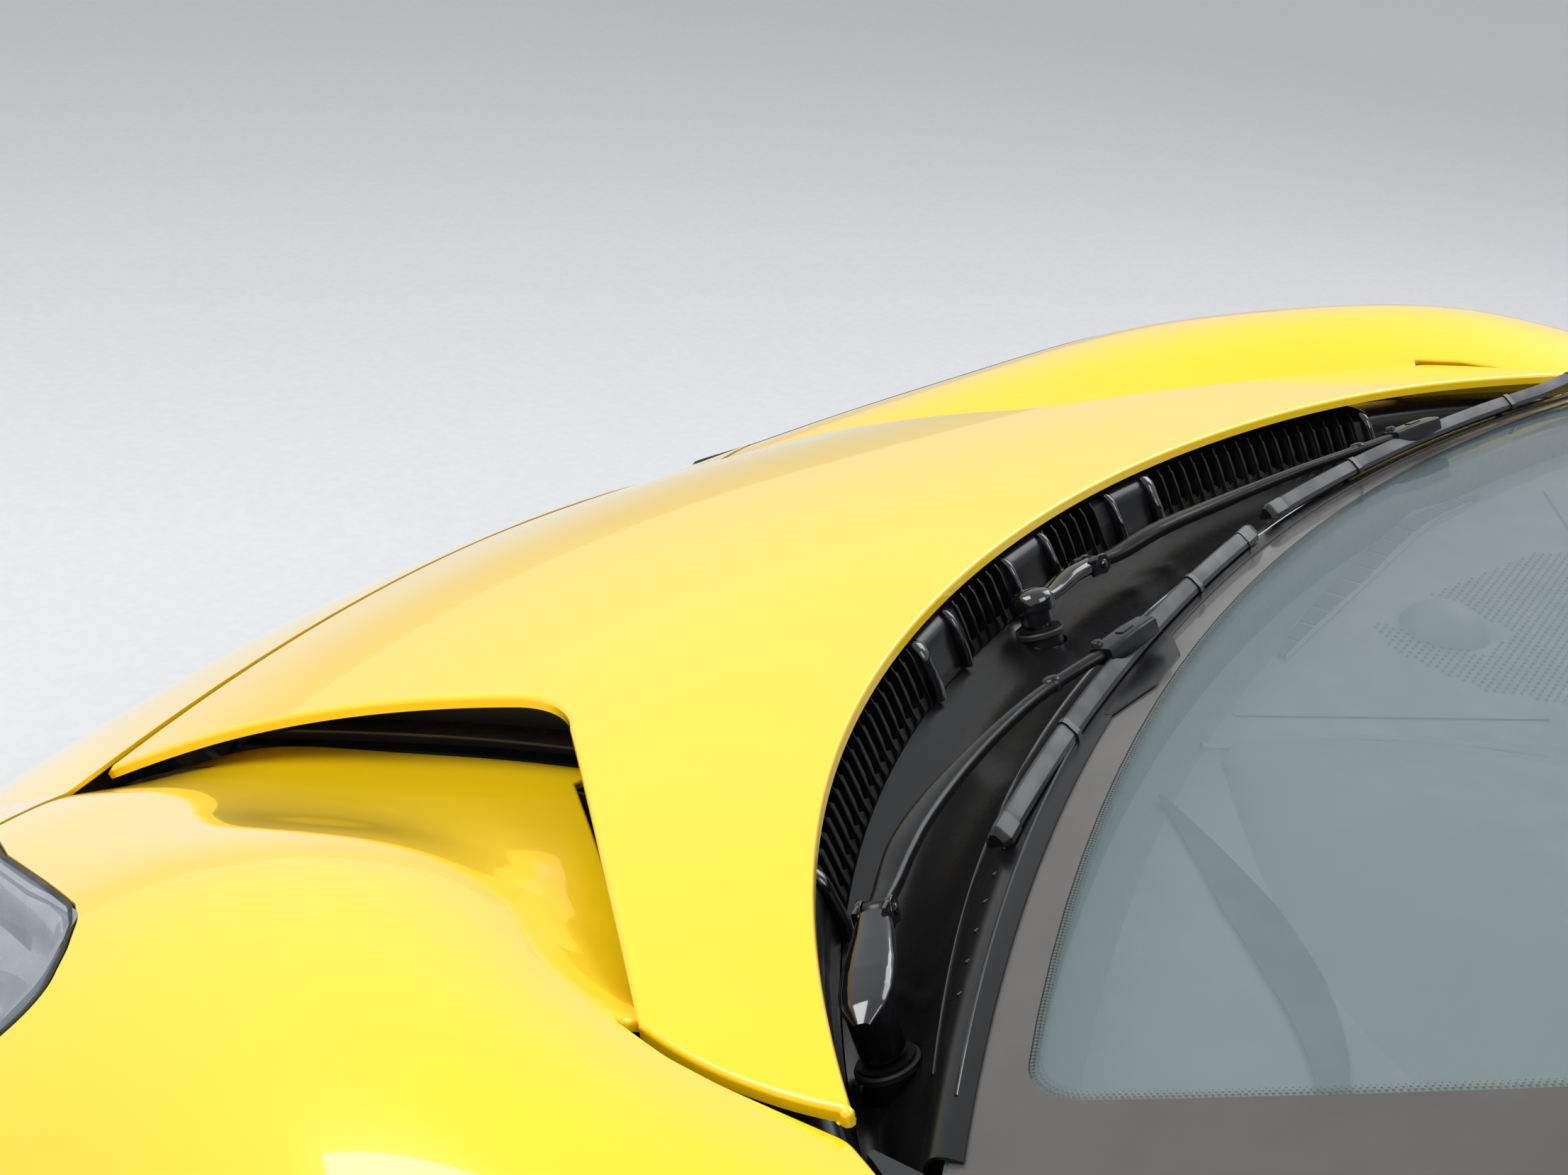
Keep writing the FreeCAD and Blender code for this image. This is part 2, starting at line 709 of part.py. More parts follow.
def make_radiator():
    return box(-RADIATOR_HALF, RADIATOR_HALF, CROSS_Y - RADIATOR_T, CROSS_Y, RADIATOR_Z, RADIATOR_TOP)


def make_tray():
    t = PLASTIC
    x = RAIL_IN
    outer = box(-x, x, TRAY_FRONT_Y, TRAY_REAR_Y, TRAY_Z, 1000)
    y0 = TRAY_FRONT_Y + t
    y1 = TRAY_REAR_Y - t
    inner = plan_prism([(t - x, y0, 40), (x - t, y0, 40), (x - t, y1, 40), (t - x, y1, 40)], TRAY_Z + t, 1001)
    return outer.cut(inner).cut(above_lid(SKIN + FRAME_DEPTH + LID_CLEARANCE))


def make_aprons(space):
    x = RAIL_IN + RAIL_W
    under = SHELF_Z - SHELF_T
    plate = box(x - APRON_T, x, -560, MOUNT_Y - BULKHEAD_T, RAIL_Z + RAIL_H, 900)
    plate = plate.cut(space).cut(box(x - 10, x + 10, SHELF_FRONT_Y - 30, MOUNT_Y, under, 900))
    return both(biggest(plate))


def make_ducts():
    x0 = RAIL_IN + DUCT_WALL
    x1 = FLOOR_X
    floors = []
    vanes = []
    for row in BODY_STATIONS:
        y, z = row[0], row[-1]
        if not -430 <= y <= 0:
            continue
        floors.append(polygon([(x0, y, z), (x1, y, z), (x1, y, z - PLASTIC), (x0, y, z - PLASTIC)]))
        v = z + VANE_RISE
        vanes.append(polygon([(x0, y, v), (x1 + 14, y, v + 2), (x1 + 14, y, v), (x0, y, v - 2)]))
    wall = box(RAIL_IN, x0, -420, 0, RAIL_Z + RAIL_H, 1000)
    duct = wall.fuse([loft(floors), loft(vanes)]).cut(above_lid(SKIN + FRAME_DEPTH + LID_CLEARANCE))
    return both(biggest(duct))


def make_arch_liners(space):
    x = LINER_INNER_X
    liner = arch_cylinder(ARCH_R, x, 938).cut(arch_cylinder(ARCH_R - PLASTIC, x + PLASTIC, 1000))
    liner = liner.cut(box(500, 1000, -500, 500, -200, SILL_Z))
    return both(liner.cut(space))


def make_posts():
    x = BULKHEAD_HALF
    return both(box(x, x + POST_W, MOUNT_Y - POST_LEN, MOUNT_Y, BULKHEAD_Z, POST_TOP))


def make_undertray():
    return box(-540, 540, -880, MOUNT_Y, BULKHEAD_Z - UNDERTRAY_T, BULKHEAD_Z)


# Scuttle and windscreen

SCUTTLE_X = (-SCUTTLE_HALF, -500, -250, 0, 250, 500, SCUTTLE_HALF)
STRIP_X = (-STRIP_HALF, -500, -250, 0, 250, 500, STRIP_HALF)
RAIL_X = (-RAIL_HALF, -500, -250, 0, 250, 500, RAIL_HALF)


def x_loft(section, stations):
    """Loft of closed polygons (y, z) given at several x."""
    return loft([polygon([(x, y, z) for y, z in section(x)]) for x in stations])


def scuttle_marks(x):
    """Bonnet edge, width of the trough and glass strip, and foot of the step behind the louvres."""
    e = edge_y(x)
    foot = e + LOUVRE_REAR + LOUVRE_STEP
    return e, glass_y(x) - foot, foot


def scuttle_section(x):
    e, w, foot = scuttle_marks(x)
    t = PLASTIC
    wall = [(e + back, LOUVRE_Z + rise) for back, rise in LOUVRE_RISE] + [(e + LOUVRE_REAR, LOUVRE_Z)]
    trough = [(foot, LOUVRE_Z - TROUGH_DROP[0]), (foot + 0.3 * w, LOUVRE_Z - TROUGH_DROP[1]),
              (foot + STRIP_SHARE * w, LOUVRE_Z + STRIP_RISE)]
    below = [(y, z - t) for y, z in trough]
    leg = [(foot + t, below[0][1]), (foot + t, SHELF_Z), (foot, SHELF_Z), below[0]]
    return wall + trough + [below[2], below[1]] + leg + [(y - t, z - t) for y, z in wall[::-1]]


def make_scuttle():
    panel = x_loft(scuttle_section, SCUTTLE_X)
    slots = []
    for lo, hi in LOUVRE_GROUPS:
        for i in range(int((hi - lo) / SLOT_PITCH)):
            x = lo + (i + 0.5) * SLOT_PITCH
            slope = (edge_y(x + 1) - edge_y(x - 1)) / 2
            slot = box(-SLOT_W / 2, SLOT_W / 2, -SLOT_LEN, 0, -45, 45)
            slot.rotate(Vector(0, 0, 0), Vector(0, 0, 1), math.degrees(math.atan(slope)) * SLOT_TURN)
            slot.translate(Vector(x, edge_y(x) + LOUVRE_REAR, LOUVRE_Z))
            slots += both(slot)
    for w in WIPERS.values():
        spindle, base, n = wiper_axis(w)
        r = SPINDLE_R + POST_WALL + POST_HOLE_GAP
        slots.append(Part.makeCylinder(r, 120, base - n * 80, n))
    return panel.cut(slots)


def strip_section(x):
    e, w, foot = scuttle_marks(x)
    a = foot + STRIP_SHARE * w
    g = glass_y(x)
    lip = g + 9
    return [(a, LOUVRE_Z + STRIP_RISE), (g - 5, GLASS_Z + 1), (lip, glass_z(x, lip) + 3), (lip, glass_z(x, lip) + 0.6),
            (g - 0.5, GLASS_Z + 0.4), (g - 0.5, GLASS_Z - 4), (a, LOUVRE_Z + STRIP_RISE - PLASTIC)]


def rail_section(x):
    g = glass_y(x)
    drop = GLASS + 1.3
    return [(g - 8, SHELF_Z), (g + 26, SHELF_Z), (g + 26, glass_z(x, g + 26) - drop), (g + 1, glass_z(x, g + 1) - drop),
            (g - 8, GLASS_Z - 14)]


def glass_section(x, drop):
    g = glass_y(x)
    pts = []
    for s in (0, GLASS_RUN / 2, GLASS_RUN):
        pts.append((x, g + s, glass_z(x, g + s) - drop))
    return pts


def make_glass():
    thick = GLASS * math.hypot(1, GLASS_SLOPE)
    sections = []
    for x in (-720, -450, -200, 0, 200, 450, 720):
        a = glass_section(x, 0)
        b = glass_section(x, thick)
        sections.append(Part.Wire([arc(*a), line(a[2], b[2]), arc(*reversed(b)), line(b[0], a[0])]))
    pane = loft(sections)
    base_y = 200
    top_y = 1300
    mx, my = GLASS_SIDE_MID
    side = arc((GLASS_BASE_X, glass_y(GLASS_BASE_X), 700), (mx, my, 700), (GLASS_TOP_X, glass_y(GLASS_TOP_X) + GLASS_RUN, 700))
    other = arc((-GLASS_TOP_X, glass_y(GLASS_TOP_X) + GLASS_RUN, 700), (-mx, my, 700), (-GLASS_BASE_X, glass_y(GLASS_BASE_X), 700))
    edges = [
        line((-GLASS_BASE_X, base_y, 700), (GLASS_BASE_X, base_y, 700)),
        line((GLASS_BASE_X, base_y, 700), (GLASS_BASE_X, glass_y(GLASS_BASE_X), 700)),
        side,
        line((GLASS_TOP_X, glass_y(GLASS_TOP_X) + GLASS_RUN, 700), (GLASS_TOP_X, top_y, 700)),
        line((GLASS_TOP_X, top_y, 700), (-GLASS_TOP_X, top_y, 700)),
        line((-GLASS_TOP_X, top_y, 700), (-GLASS_TOP_X, glass_y(GLASS_TOP_X) + GLASS_RUN, 700)),
        other,
        line((-GLASS_BASE_X, glass_y(GLASS_BASE_X), 700), (-GLASS_BASE_X, base_y, 700)),
    ]
    return pane.common(prism(Part.Wire(edges), (0, 0, 700)))


def side_x(y):
    """Glass side edge in plan."""
    y0 = glass_y(GLASS_BASE_X)
    y1 = glass_y(GLASS_TOP_X) + GLASS_RUN
    t = (y - y0) / (y1 - y0)
    bow = GLASS_SIDE_MID[0] - 0.5 * (GLASS_BASE_X + GLASS_TOP_X)
    return GLASS_BASE_X + (GLASS_TOP_X - GLASS_BASE_X) * t + 4 * bow * t * (1 - t)


PILLAR_Y = (404, 560, 800, 1070)
TRIM_Y = (390, 560, 800, 1070)


def along_pillar(corners, stations):
    """Loft along the glass side of a polygon given as (dx, dz) from the glass edge, following the glass inboard."""
    wires = []
    for y in stations:
        x = side_x(y)
        wires.append(polygon([(x + dx, y, glass_z(x + min(dx, 0), y) + dz) for dx, dz in corners]))
    return loft(wires)


def make_pillars():
    return along_pillar([(-30, -6.3), (2, -6.3), (4, 0), (19, -3), (23, -16), (23, -66), (-18, -66)], PILLAR_Y)


def make_pillar_trims():
    trim = along_pillar([(-8, 0.4), (-6, 4.5), (13, 5.5), (19, 1), (17, -1.2), (4, 0.4)], TRIM_Y)
    top = GLASS_Z - GLASS - 1.5
    corner = plan_prism([(STRIP_HALF + 3, 347, 0), (687, 346, 0), (710, 383, 0), (712, 400, 0),
                         (STRIP_HALF + 3, 400, 0)], top - 8, top)
    foot = box(GLASS_BASE_X + 3, 711, 391, 400, top - 1, glass_z(GLASS_BASE_X, 400) + 1)
    return both(trim.fuse([corner, foot]))


def header_section(x):
    y = glass_y(x) + GLASS_RUN
    z = glass_z(x, y)
    return [(y + 1, z - 8), (y + 1, z + 2), (y + 40, z + 14), (y + 85, z + 20), (y + 85, z - 26), (y - 26, z - 44), (y - 26, z - 20)]


def make_header():
    return x_loft(header_section, (-548, -270, 0, 270, 548))


# Dashboard under the glass

def dash_section(x):
    g = glass_y(x)
    top = dash_top(x)
    return [(g + 34, top - 6), (g + 60, top), (g + 240, top - 6), (g + 360, top - 26), (g + 380, top - 48),
            (g + 380, SHELF_Z), (g + 34, SHELF_Z)]


def make_dash():
    return x_loft(dash_section, (-600, -400, -200, 0, 200, 400, 600))


def dash_top(x):
    return glass_z(x, glass_y(x) + 60) - 60


def make_hood():
    base = dash_top(0) - 8
    wires = []
    for y, cx, w, h in ((330, 190, 20, 6), (400, 205, 120, 22), (480, 220, 190, 34), (560, 235, 220, 42), (620, 245, 225, 40)):
        left, right = (cx + w, y, base), (cx - w, y, base)
        wires.append(Part.Wire([arc(right, (cx, y, base + 8 + h), left), line(left, right)]))
    return loft(wires)


def make_demister():
    z = dash_top(0)
    slot = [(40, 312, 0), (-20, 296, 10), (-300, 300, 10), (-400, 345, 10), (-300, 322, 10)]
    return plan_prism(slot, z - 8, z + 1.5)


def make_pod():
    z = dash_top(0)
    dome = Part.makeSphere(POD_R, Vector(POD_X, POD_Y, z - 20))
    return dome.common(box(POD_X - POD_R, POD_X + POD_R, POD_Y - POD_R, POD_Y + POD_R, z - 10, z + 40))


# Wipers

def plane_z(x, y, tangent):
    """Sweep plane of a wiper: the glass's own slope, tangent to it in x at the given x."""
    m = tangent / 1000.0
    k = GLASS_PLAN * GLASS_SLOPE
    return GLASS_Z + GLASS_SLOPE * (y - GLASS_Y) - 2 * k * m * (x / 1000.0 - m) - k * m * m


def plane_normal(tangent):
    k = GLASS_PLAN * GLASS_SLOPE / 1000.0
    n = Vector(2 * k * tangent / 1000.0, -GLASS_SLOPE, 1)
    return n.normalize()


def on_plane(p, tangent, height):
    """Point at plan position p, the given height above the sweep plane."""
    return Vector(p[0], p[1], plane_z(p[0], p[1], tangent) + height)


def bar(points, n, widths, heights):
    """Bar along points with flat faces: rectangles, width across the whole run, height along the normal n."""
    across = (points[-1] - points[0]).cross(n).normalize()
    wires = []
    for p, width, height in zip(points, widths, heights):
        side = across * (width / 2)
        up = n * (height / 2)
        corners = [p - side - up, p + side - up, p + side + up, p - side + up]
        wires.append(Part.makePolygon(corners + [corners[0]]))
    return Part.makeLoft(wires, True, True)


WIPERS = {
    "left": {
        "tangent": LEFT_TANGENT_X,
        "spindle": (576, 280),
        "spindle_h": -6.0,
        "post_gap": 34.0,
        "hinge_h": 6.0,
        "lobe": 0.25,
        "arm": ((506, 246), (450, 228), (389, 217), (293, 216), (240, 222), (190, 238)),
        "link": ((200, 236), (150, 245)),
        "blade": (432, 277, -72, 235),
        "blade_h": 12.0,
    },
    "centre": {
        "tangent": CENTRE_TANGENT_X,
        "spindle": (52, 118),
        "spindle_h": 4.0,
        "post_gap": 22.0,
        "hinge_h": 8.0,
        "lobe": 0.1,
        "arm": ((-28, 131), (-80, 146), (-150, 170), (-240, 215), (-300, 246), (-345, 271)),
        "link": ((-330, 263), (-378, 283)),
        "blade": (-112, 232, -628, 352),
        "blade_h": 15.0,
    },
}


def wiper_axis(w):
    """Spindle point, top of its post and the direction of the spindle."""
    n = plane_normal(w["tangent"])
    spindle = on_plane(w["spindle"], w["tangent"], w["spindle_h"])
    return spindle, spindle - n * w["post_gap"], n


def make_post(w):
    spindle, base, n = wiper_axis(w)
    outside = Part.makeCylinder(SPINDLE_R + POST_WALL, 120, base - n * 120, n)
    bore = Part.makeCylinder(SPINDLE_R + SPINDLE_FIT, 140, base - n * 130, n)
    below = box(-BULKHEAD_HALF, BULKHEAD_HALF, 0, MOUNT_Y, 0, SHELF_Z)
    return outside.cut(bore).cut(below)


def hinge_frame(w):
    """Lift hinge: its point, the arm's direction, the pin's direction and the sweep plane's normal."""
    n = plane_normal(w["tangent"])
    hinge, ahead = [on_plane(p, w["tangent"], w["hinge_h"]) for p in w["arm"][:2]]
    along = (ahead - hinge).normalize()
    return hinge, along, along.cross(n).normalize(), n


def make_head(w):
    spindle, base, n = wiper_axis(w)
    hinge, along, pin, n = hinge_frame(w)
    inner = BARREL_HALF + FORK_GAP
    outer = inner + FORK_T
    back = hinge - along * (BARREL_R + 7)
    reach = hinge - spindle
    head = bar([spindle - reach * w["lobe"], spindle, spindle + reach * 0.5, back], n, [16, 32, 28, 2 * outer],
               [8, 14, 16, 2 * FORK_R])
    pieces = [Part.makeCylinder(SPINDLE_R + 8, 14, spindle - n * 7, n)]
    pieces.append(Part.makeCylinder(SPINDLE_R + 5, w["post_gap"] - POST_GAP, base + n * POST_GAP, n))
    depth = (spindle.z - SHELF_Z) / n.z - 6
    pieces.append(Part.makeCylinder(SPINDLE_R, depth, spindle - n * depth, n))
    for side in (-outer, inner):
        start = hinge + pin * side
        pieces.append(Part.makeCylinder(FORK_R, FORK_T, start, pin))
        corners = [start - along * (BARREL_R + 9) + n * FORK_R, start + n * FORK_R,
                   start - n * FORK_R, start - along * (BARREL_R + 9) - n * FORK_R]
        pieces.append(Part.Face(Part.makePolygon(corners + [corners[0]])).extrude(pin * FORK_T))
    pieces.append(Part.makeCylinder(LIFT_PIN_R, 2 * inner, hinge - pin * inner, pin))
    return head.fuse(pieces)


def make_arm(w, blade):
    tangent = w["tangent"]
    hinge, along, pin, n = hinge_frame(w)
    barrel = Part.makeCylinder(BARREL_R, 2 * BARREL_HALF, hinge - pin * BARREL_HALF, pin)
    bore = Part.makeCylinder(LIFT_PIN_R + SPINDLE_FIT, 4 * BARREL_HALF, hinge - pin * 2 * BARREL_HALF, pin)
    points = [hinge + along * 4, hinge + along * 13, hinge + along * 22]
    rise = ARM_H - w["hinge_h"]
    for i, p in enumerate(w["arm"][1:]):
        points.append(on_plane(p, tangent, w["hinge_h"] + rise * min(1.0, (i + 1) / 3.0)))
    bar_w = [12, 12, 22, 20, 17, 13, 11, 12]
    bar_h = [9, 9, 12, 11, 9, 8, 8, 8]
    link = bar([on_plane(p, tangent, ARM_H - 2) for p in w["link"]], n, [20, 20], [14, 12])
    return barrel.fuse([bar(points, n, bar_w, bar_h), link]).cut(bore).cut(blade)


def make_blade(w):
    """Blade laid over the curved glass, but bowed no further than it can be swept."""
    x0, y0, x1, y1 = w["blade"]
    tangent = w["tangent"]
    points = []
    for i in range(7):
        t = i / 6
        x = x0 + (x1 - x0) * t
        y = y0 + (y1 - y0) * t - BLADE_BOW * 4 * t * (1 - t)
        z = max(glass_z(x, y), plane_z(x, y, tangent) - BLADE_BOW)
        points.append(Vector(x, y, z + w["blade_h"]))
    return bar(points, plane_normal(tangent), [10, 14, 15, 15, 15, 14, 10], [9, 11, 12, 12, 12, 11, 9])


def write(name, shapes):
    if not isinstance(shapes, (list, tuple)):
        shapes = [shapes]
    out = []
    for s in shapes:
        out += s.Solids
    body = Part.makeCompound(out) if len(out) > 1 else out[0]
    body = body.copy()
    body.translate(Vector(0, -MOUNT_Y, -MOUNT_Z))
    body.exportStep("parts/%s.step" % name)
    print(name, len(out), body.isValid(), round(body.Volume / 1e6, 3))


def main():
    os.makedirs("parts", exist_ok=True)
    full = wing_loft(0, WING_SKIN)
    space = above_wing()
    write("bonnet_skin", make_bonnet())
    write("bonnet_frame", make_bonnet_frame())
    write("bonnet_hinge_arms", make_hinge_arms())
    write("bonnet_strikers", make_strikers())
    write("hinge_brackets", make_hinge_brackets())
    write("bonnet_latches", make_latches())
    wing = make_wing(full)
    write("wing_left", wing)
    write("wing_right", mirrored(wing))
    write("nose_panel", make_nose())
    lens = make_lamp(full)
    write("headlamp_lens_left", lens)
    write("headlamp_lens_right", mirrored(lens))
    housing = biggest(make_lamp_housing(space).cut(lens))
    write("headlamp_housings", both(housing))
    modules = make_lamp_modules(space)
    write("headlamp_modules", modules + [mirrored(m) for m in modules])
    write("centre_grille", make_centre_grille())
    write("side_grilles", make_side_grilles())
    write("splitter", make_splitter())
    write("bulkhead", make_bulkhead())
    write("front_rails", make_rails())
    write("crossmember", make_crossmember())
    write("radiator", make_radiator())
    write("front_tray", make_tray())
    write("inner_wings", make_aprons(space))
    write("outlet_ducts", make_ducts())
    write("arch_liners", make_arch_liners(space))
    write("undertray", make_undertray())
    write("scuttle_panel", make_scuttle())
    strip = x_loft(strip_section, STRIP_X)
    rail = biggest(x_loft(rail_section, RAIL_X).cut(strip))
    header = make_header()
    pillar = biggest(make_pillars().cut(header))
    write("glass_strip", strip)
    write("cowl_rail", rail)
    write("windscreen", make_glass())
    write("pillars", both(pillar))
    write("pillar_trims", make_pillar_trims())
    write("header_rail", header)
    write("door_posts", [biggest(p.cut(q)) for p, q in zip(make_posts(), both(pillar))])
    demister = make_demister()
    dash = make_dash().cut(demister)
    write("dashboard", dash)
    write("instrument_hood", biggest(make_hood().cut(dash)))
    write("demister_vent", demister)
    write("sensor_pod", biggest(make_pod().cut(dash)))
    for name, w in WIPERS.items():
        blade = make_blade(w)
        write("wiper_post_" + name, make_post(w))
        write("wiper_head_" + name, make_head(w))
        write("wiper_arm_" + name, make_arm(w, blade))
        write("wiper_blade_" + name, blade)


main()
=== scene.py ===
import json
import math

import bpy
import numpy as np
from mathutils import Matrix, Vector
from mathutils.geometry import delaunay_2d_cdt


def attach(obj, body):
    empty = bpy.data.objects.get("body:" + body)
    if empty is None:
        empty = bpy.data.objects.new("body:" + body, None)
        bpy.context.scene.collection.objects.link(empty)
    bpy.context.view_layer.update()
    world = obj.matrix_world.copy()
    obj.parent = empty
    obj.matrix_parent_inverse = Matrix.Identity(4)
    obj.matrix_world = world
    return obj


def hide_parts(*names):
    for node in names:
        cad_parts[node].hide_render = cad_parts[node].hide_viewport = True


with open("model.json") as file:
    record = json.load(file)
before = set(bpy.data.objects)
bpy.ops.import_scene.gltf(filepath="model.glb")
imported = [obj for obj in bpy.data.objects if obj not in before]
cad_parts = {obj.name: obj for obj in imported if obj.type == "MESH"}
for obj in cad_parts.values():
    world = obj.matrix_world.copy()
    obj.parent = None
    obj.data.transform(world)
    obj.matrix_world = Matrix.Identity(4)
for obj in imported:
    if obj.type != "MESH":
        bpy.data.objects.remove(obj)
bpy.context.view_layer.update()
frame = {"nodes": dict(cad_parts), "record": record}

# Lengths are millimetres in the car's own frame (y from the front axle line, z from the road) until placed.
ORIGIN = np.array([0.0, 480.0, 440.0])

BONNET_STATIONS = (
    # y, top, fall
    (-560, 595, 0.26),
    (-400, 684, 0.21),
    (-200, 766, 0.14),
    (0, 822, 0.085),
    (100, 842, 0.075),
    (200, 868, 0.090),
    (340, 897, 0.100),
)
BODY_STATIONS = (
    # y, top, xk, zk, xc, zc, xs, zs, z_floor
    (-945, 285, 230, 272, 330, 255, 400, 205, 0),
    (-900, 335, 290, 315, 440, 290, 545, 225, 0),
    (-820, 405, 345, 375, 545, 345, 690, 270, 0),
    (-700, 500, 400, 458, 464, 462, 805, 330, 400),
    (-560, 595, 435, 548, 500, 552, 870, 400, 520),
    (-420, 674, 472, 630, 533, 634, 905, 455, 612),
    (-300, 727, 500, 680, 604, 695, 922, 500, 655),
    (-150, 785, 525, 738, 660, 773, 935, 540, 705),
    (0, 822, 540, 783, 683, 826, 942, 565, 745),
    (150, 850, 620, 800, 735, 854, 946, 585, 784),
    (300, 870, 672, 832, 745, 857, 946, 600, 821),
    (500, 880, 690, 850, 747, 855, 942, 600, 852),
)
FLOOR_X = 350.0
SILL_Z = 190.0
SILL_IN = 25.0
FLOOR_SAG = 6.0
TIP = (673.0, 329.0)
SHUT_MID = (675.5, 262.0)
SLANT_OUTER = (661.0, 198.0)
SLANT_INNER = (408.0, -44.0)
LIP_CORNER = (380.0, -78.0)
LIP_REAR = (371.0, -120.0)
LIP_MID = (385.0, -300.0)
FRONT_CORNER = (413.0, -506.0)
FRONT_CENTRE_Y = -525.0
LAMP_OUTLINE = (
    # x, y, corner radius
    (596, -393, 60), (651, -281, 60), (695, -193, 50), (714, -167, 50), (740, -144, 60),
    (774, -122, 36), (808, -137, 40), (822, -196, 60), (829, -262, 60), (815, -470, 60),
    (775, -640, 40), (672, -688, 30), (560, -600, 30), (531, -500, 20),
)
SHUT_GAP = 5.0
# The nose panel's edge seen from above and from the side, with the shut gap added
NOSE_OUT_Y = -430.0 + SHUT_GAP
NOSE_IN_Y = -512.0 + SHUT_GAP
NOSE_LOW_Y = -330.0 + SHUT_GAP
NOSE_BEND = (-345.0 + SHUT_GAP, 430.0)
NOSE_TOP_Z = 590.0 + SHUT_GAP
AXLE = (20.0, 335.0)
ARCH_R = 372.0
WING_REAR_Y = 495.0
GLASS_Y = 242.0
GLASS_PLAN = 300.0
GLASS_Z = 850.0
GLASS_SLOPE = 0.466
GLASS_BOW = 0.00006
GLASS_RUN = 735.0
GLASS_BASE_X = 700.0
GLASS_TOP_X = 560.0
GLASS_SIDE_MID = (650.0, 715.0)
STRIP_HALF = 680.0
LOUVRE_GROUPS = ((40, 132), (206, 470))
LOUVRE_PITCH = 15.5


# Helpers

def edge_y(x):
    m = np.asarray(x) / 1000.0
    return 77.0 + 416.0 * m ** 2 + 311.0 * m ** 4


def glass_y(x):
    m = np.asarray(x) / 1000.0
    return GLASS_Y + GLASS_PLAN * m ** 2


def glass_z(x, y):
    s = y - glass_y(x)
    return GLASS_Z + GLASS_SLOPE * s - GLASS_BOW * s * s


def spline(xs, ys):
    """Natural cubic spline through the stations, as a function."""
    xs = np.array(xs, float)
    ys = np.array(ys, float)
    n = len(xs)
    h = np.diff(xs)
    a = np.eye(n)
    b = np.zeros(n)
    for i in range(1, n - 1):
        a[i, i - 1:i + 2] = (h[i - 1], 2 * (h[i - 1] + h[i]), h[i])
        b[i] = 6 * ((ys[i + 1] - ys[i]) / h[i] - (ys[i] - ys[i - 1]) / h[i - 1])
    m = np.linalg.solve(a, b)

    def at(x):
        x = np.asarray(x, float)
        i = np.clip(np.searchsorted(xs, x) - 1, 0, n - 2)
        d = x - xs[i]
        slope = (ys[i + 1] - ys[i]) / h[i] - h[i] * (2 * m[i] + m[i + 1]) / 6
        return ys[i] + slope * d + m[i] / 2 * d ** 2 + (m[i + 1] - m[i]) / (6 * h[i]) * d ** 3

    return at


def arc_points(a, b, c, n):
    """Points on the circle through a, b, c, from a to c."""
    a, b, c = (np.array(p, float) for p in (a, b, c))
    d = 2 * (a[0] * (b[1] - c[1]) + b[0] * (c[1] - a[1]) + c[0] * (a[1] - b[1]))
    t = np.linspace(0, 1, n)[:, None]
    if abs(d) < 1e-6:
        return a + (c - a) * t
    aa, bb, cc = a @ a, b @ b, c @ c
    o = np.array([(aa * (b[1] - c[1]) + bb * (c[1] - a[1]) + cc * (a[1] - b[1])) / d,
                  (aa * (c[0] - b[0]) + bb * (a[0] - c[0]) + cc * (b[0] - a[0])) / d])
    r = np.linalg.norm(a - o)
    t0, t1, t2 = (math.atan2(p[1] - o[1], p[0] - o[0]) for p in (a, b, c))
    if (t1 - t0) % (2 * math.pi) > (t2 - t0) % (2 * math.pi):
        turn = -((t0 - t2) % (2 * math.pi))
    else:
        turn = (t2 - t0) % (2 * math.pi)
    ang = t0 + turn * np.linspace(0, 1, n)
    return o + r * np.stack([np.cos(ang), np.sin(ang)], 1)


def densify(points, step, closed=False):
    pts = [np.array(p, float) for p in points]
    if closed:
        pts.append(pts[0])
    out = []
    for a, b in zip(pts, pts[1:]):
        n = max(1, int(math.ceil(np.linalg.norm(b - a) / step)))
        out += [a + (b - a) * i / n for i in range(n)]
    if not closed:
        out.append(pts[-1])
    return np.array(out)


def rounded_loop(points, step):
    """Closed outline through corners (u, v, radius)."""
    out = []
    n = len(points)
    for i in range(n):
        p = np.array(points[i][:2], float)
        r = points[i][2]
        a = np.array(points[i - 1][:2], float) - p
        b = np.array(points[(i + 1) % n][:2], float) - p
        la, lb = np.linalg.norm(a), np.linalg.norm(b)
        a, b = a / la, b / lb
        if not r:
            out.append(p)
            continue
        half = 0.5 * math.acos(max(-1.0, min(1.0, float(a @ b))))
        t = min(r / math.tan(half), 0.45 * la, 0.45 * lb)
        r = t * math.tan(half)
        m = (a + b) / np.linalg.norm(a + b)
        out += list(arc_points(p + a * t, p + m * (r / math.sin(half) - r), p + b * t, 9))
    return densify(out, step, True)


def inside(points, loop):
    """Even-odd test of points against a closed loop."""
    x, y = points[:, 0], points[:, 1]
    hit = np.zeros(len(points), bool)
    a = loop
    b = np.roll(loop, -1, 0)
    for (x0, y0), (x1, y1) in zip(a, b):
        if y0 == y1:
            continue
        cross = (y0 > y) != (y1 > y)
        hit ^= cross & (x < (x1 - x0) * (y - y0) / (y1 - y0) + x0)
    return hit


def nearest(points, segments):
    """Distance from each point to the segments, and the nearest place on them."""
    best = np.full(len(points), 1e9)
    place = np.zeros((len(points), 2))
    for a, b in segments:
        d = b - a
        t = np.clip(((points - a) @ d) / max(d @ d, 1e-9), 0, 1)
        q = a + t[:, None] * d
        r = np.hypot(*(points - q).T)
        m = r < best
        best[m] = r[m]
        place[m] = q[m]
    return best, place


def triangulate(points, edges):
    verts, _, faces, _, _, _ = delaunay_2d_cdt([Vector(p) for p in points], edges, [], 0, 1e-4)
    return np.array([v[:] for v in verts]), [list(f) for f in faces]


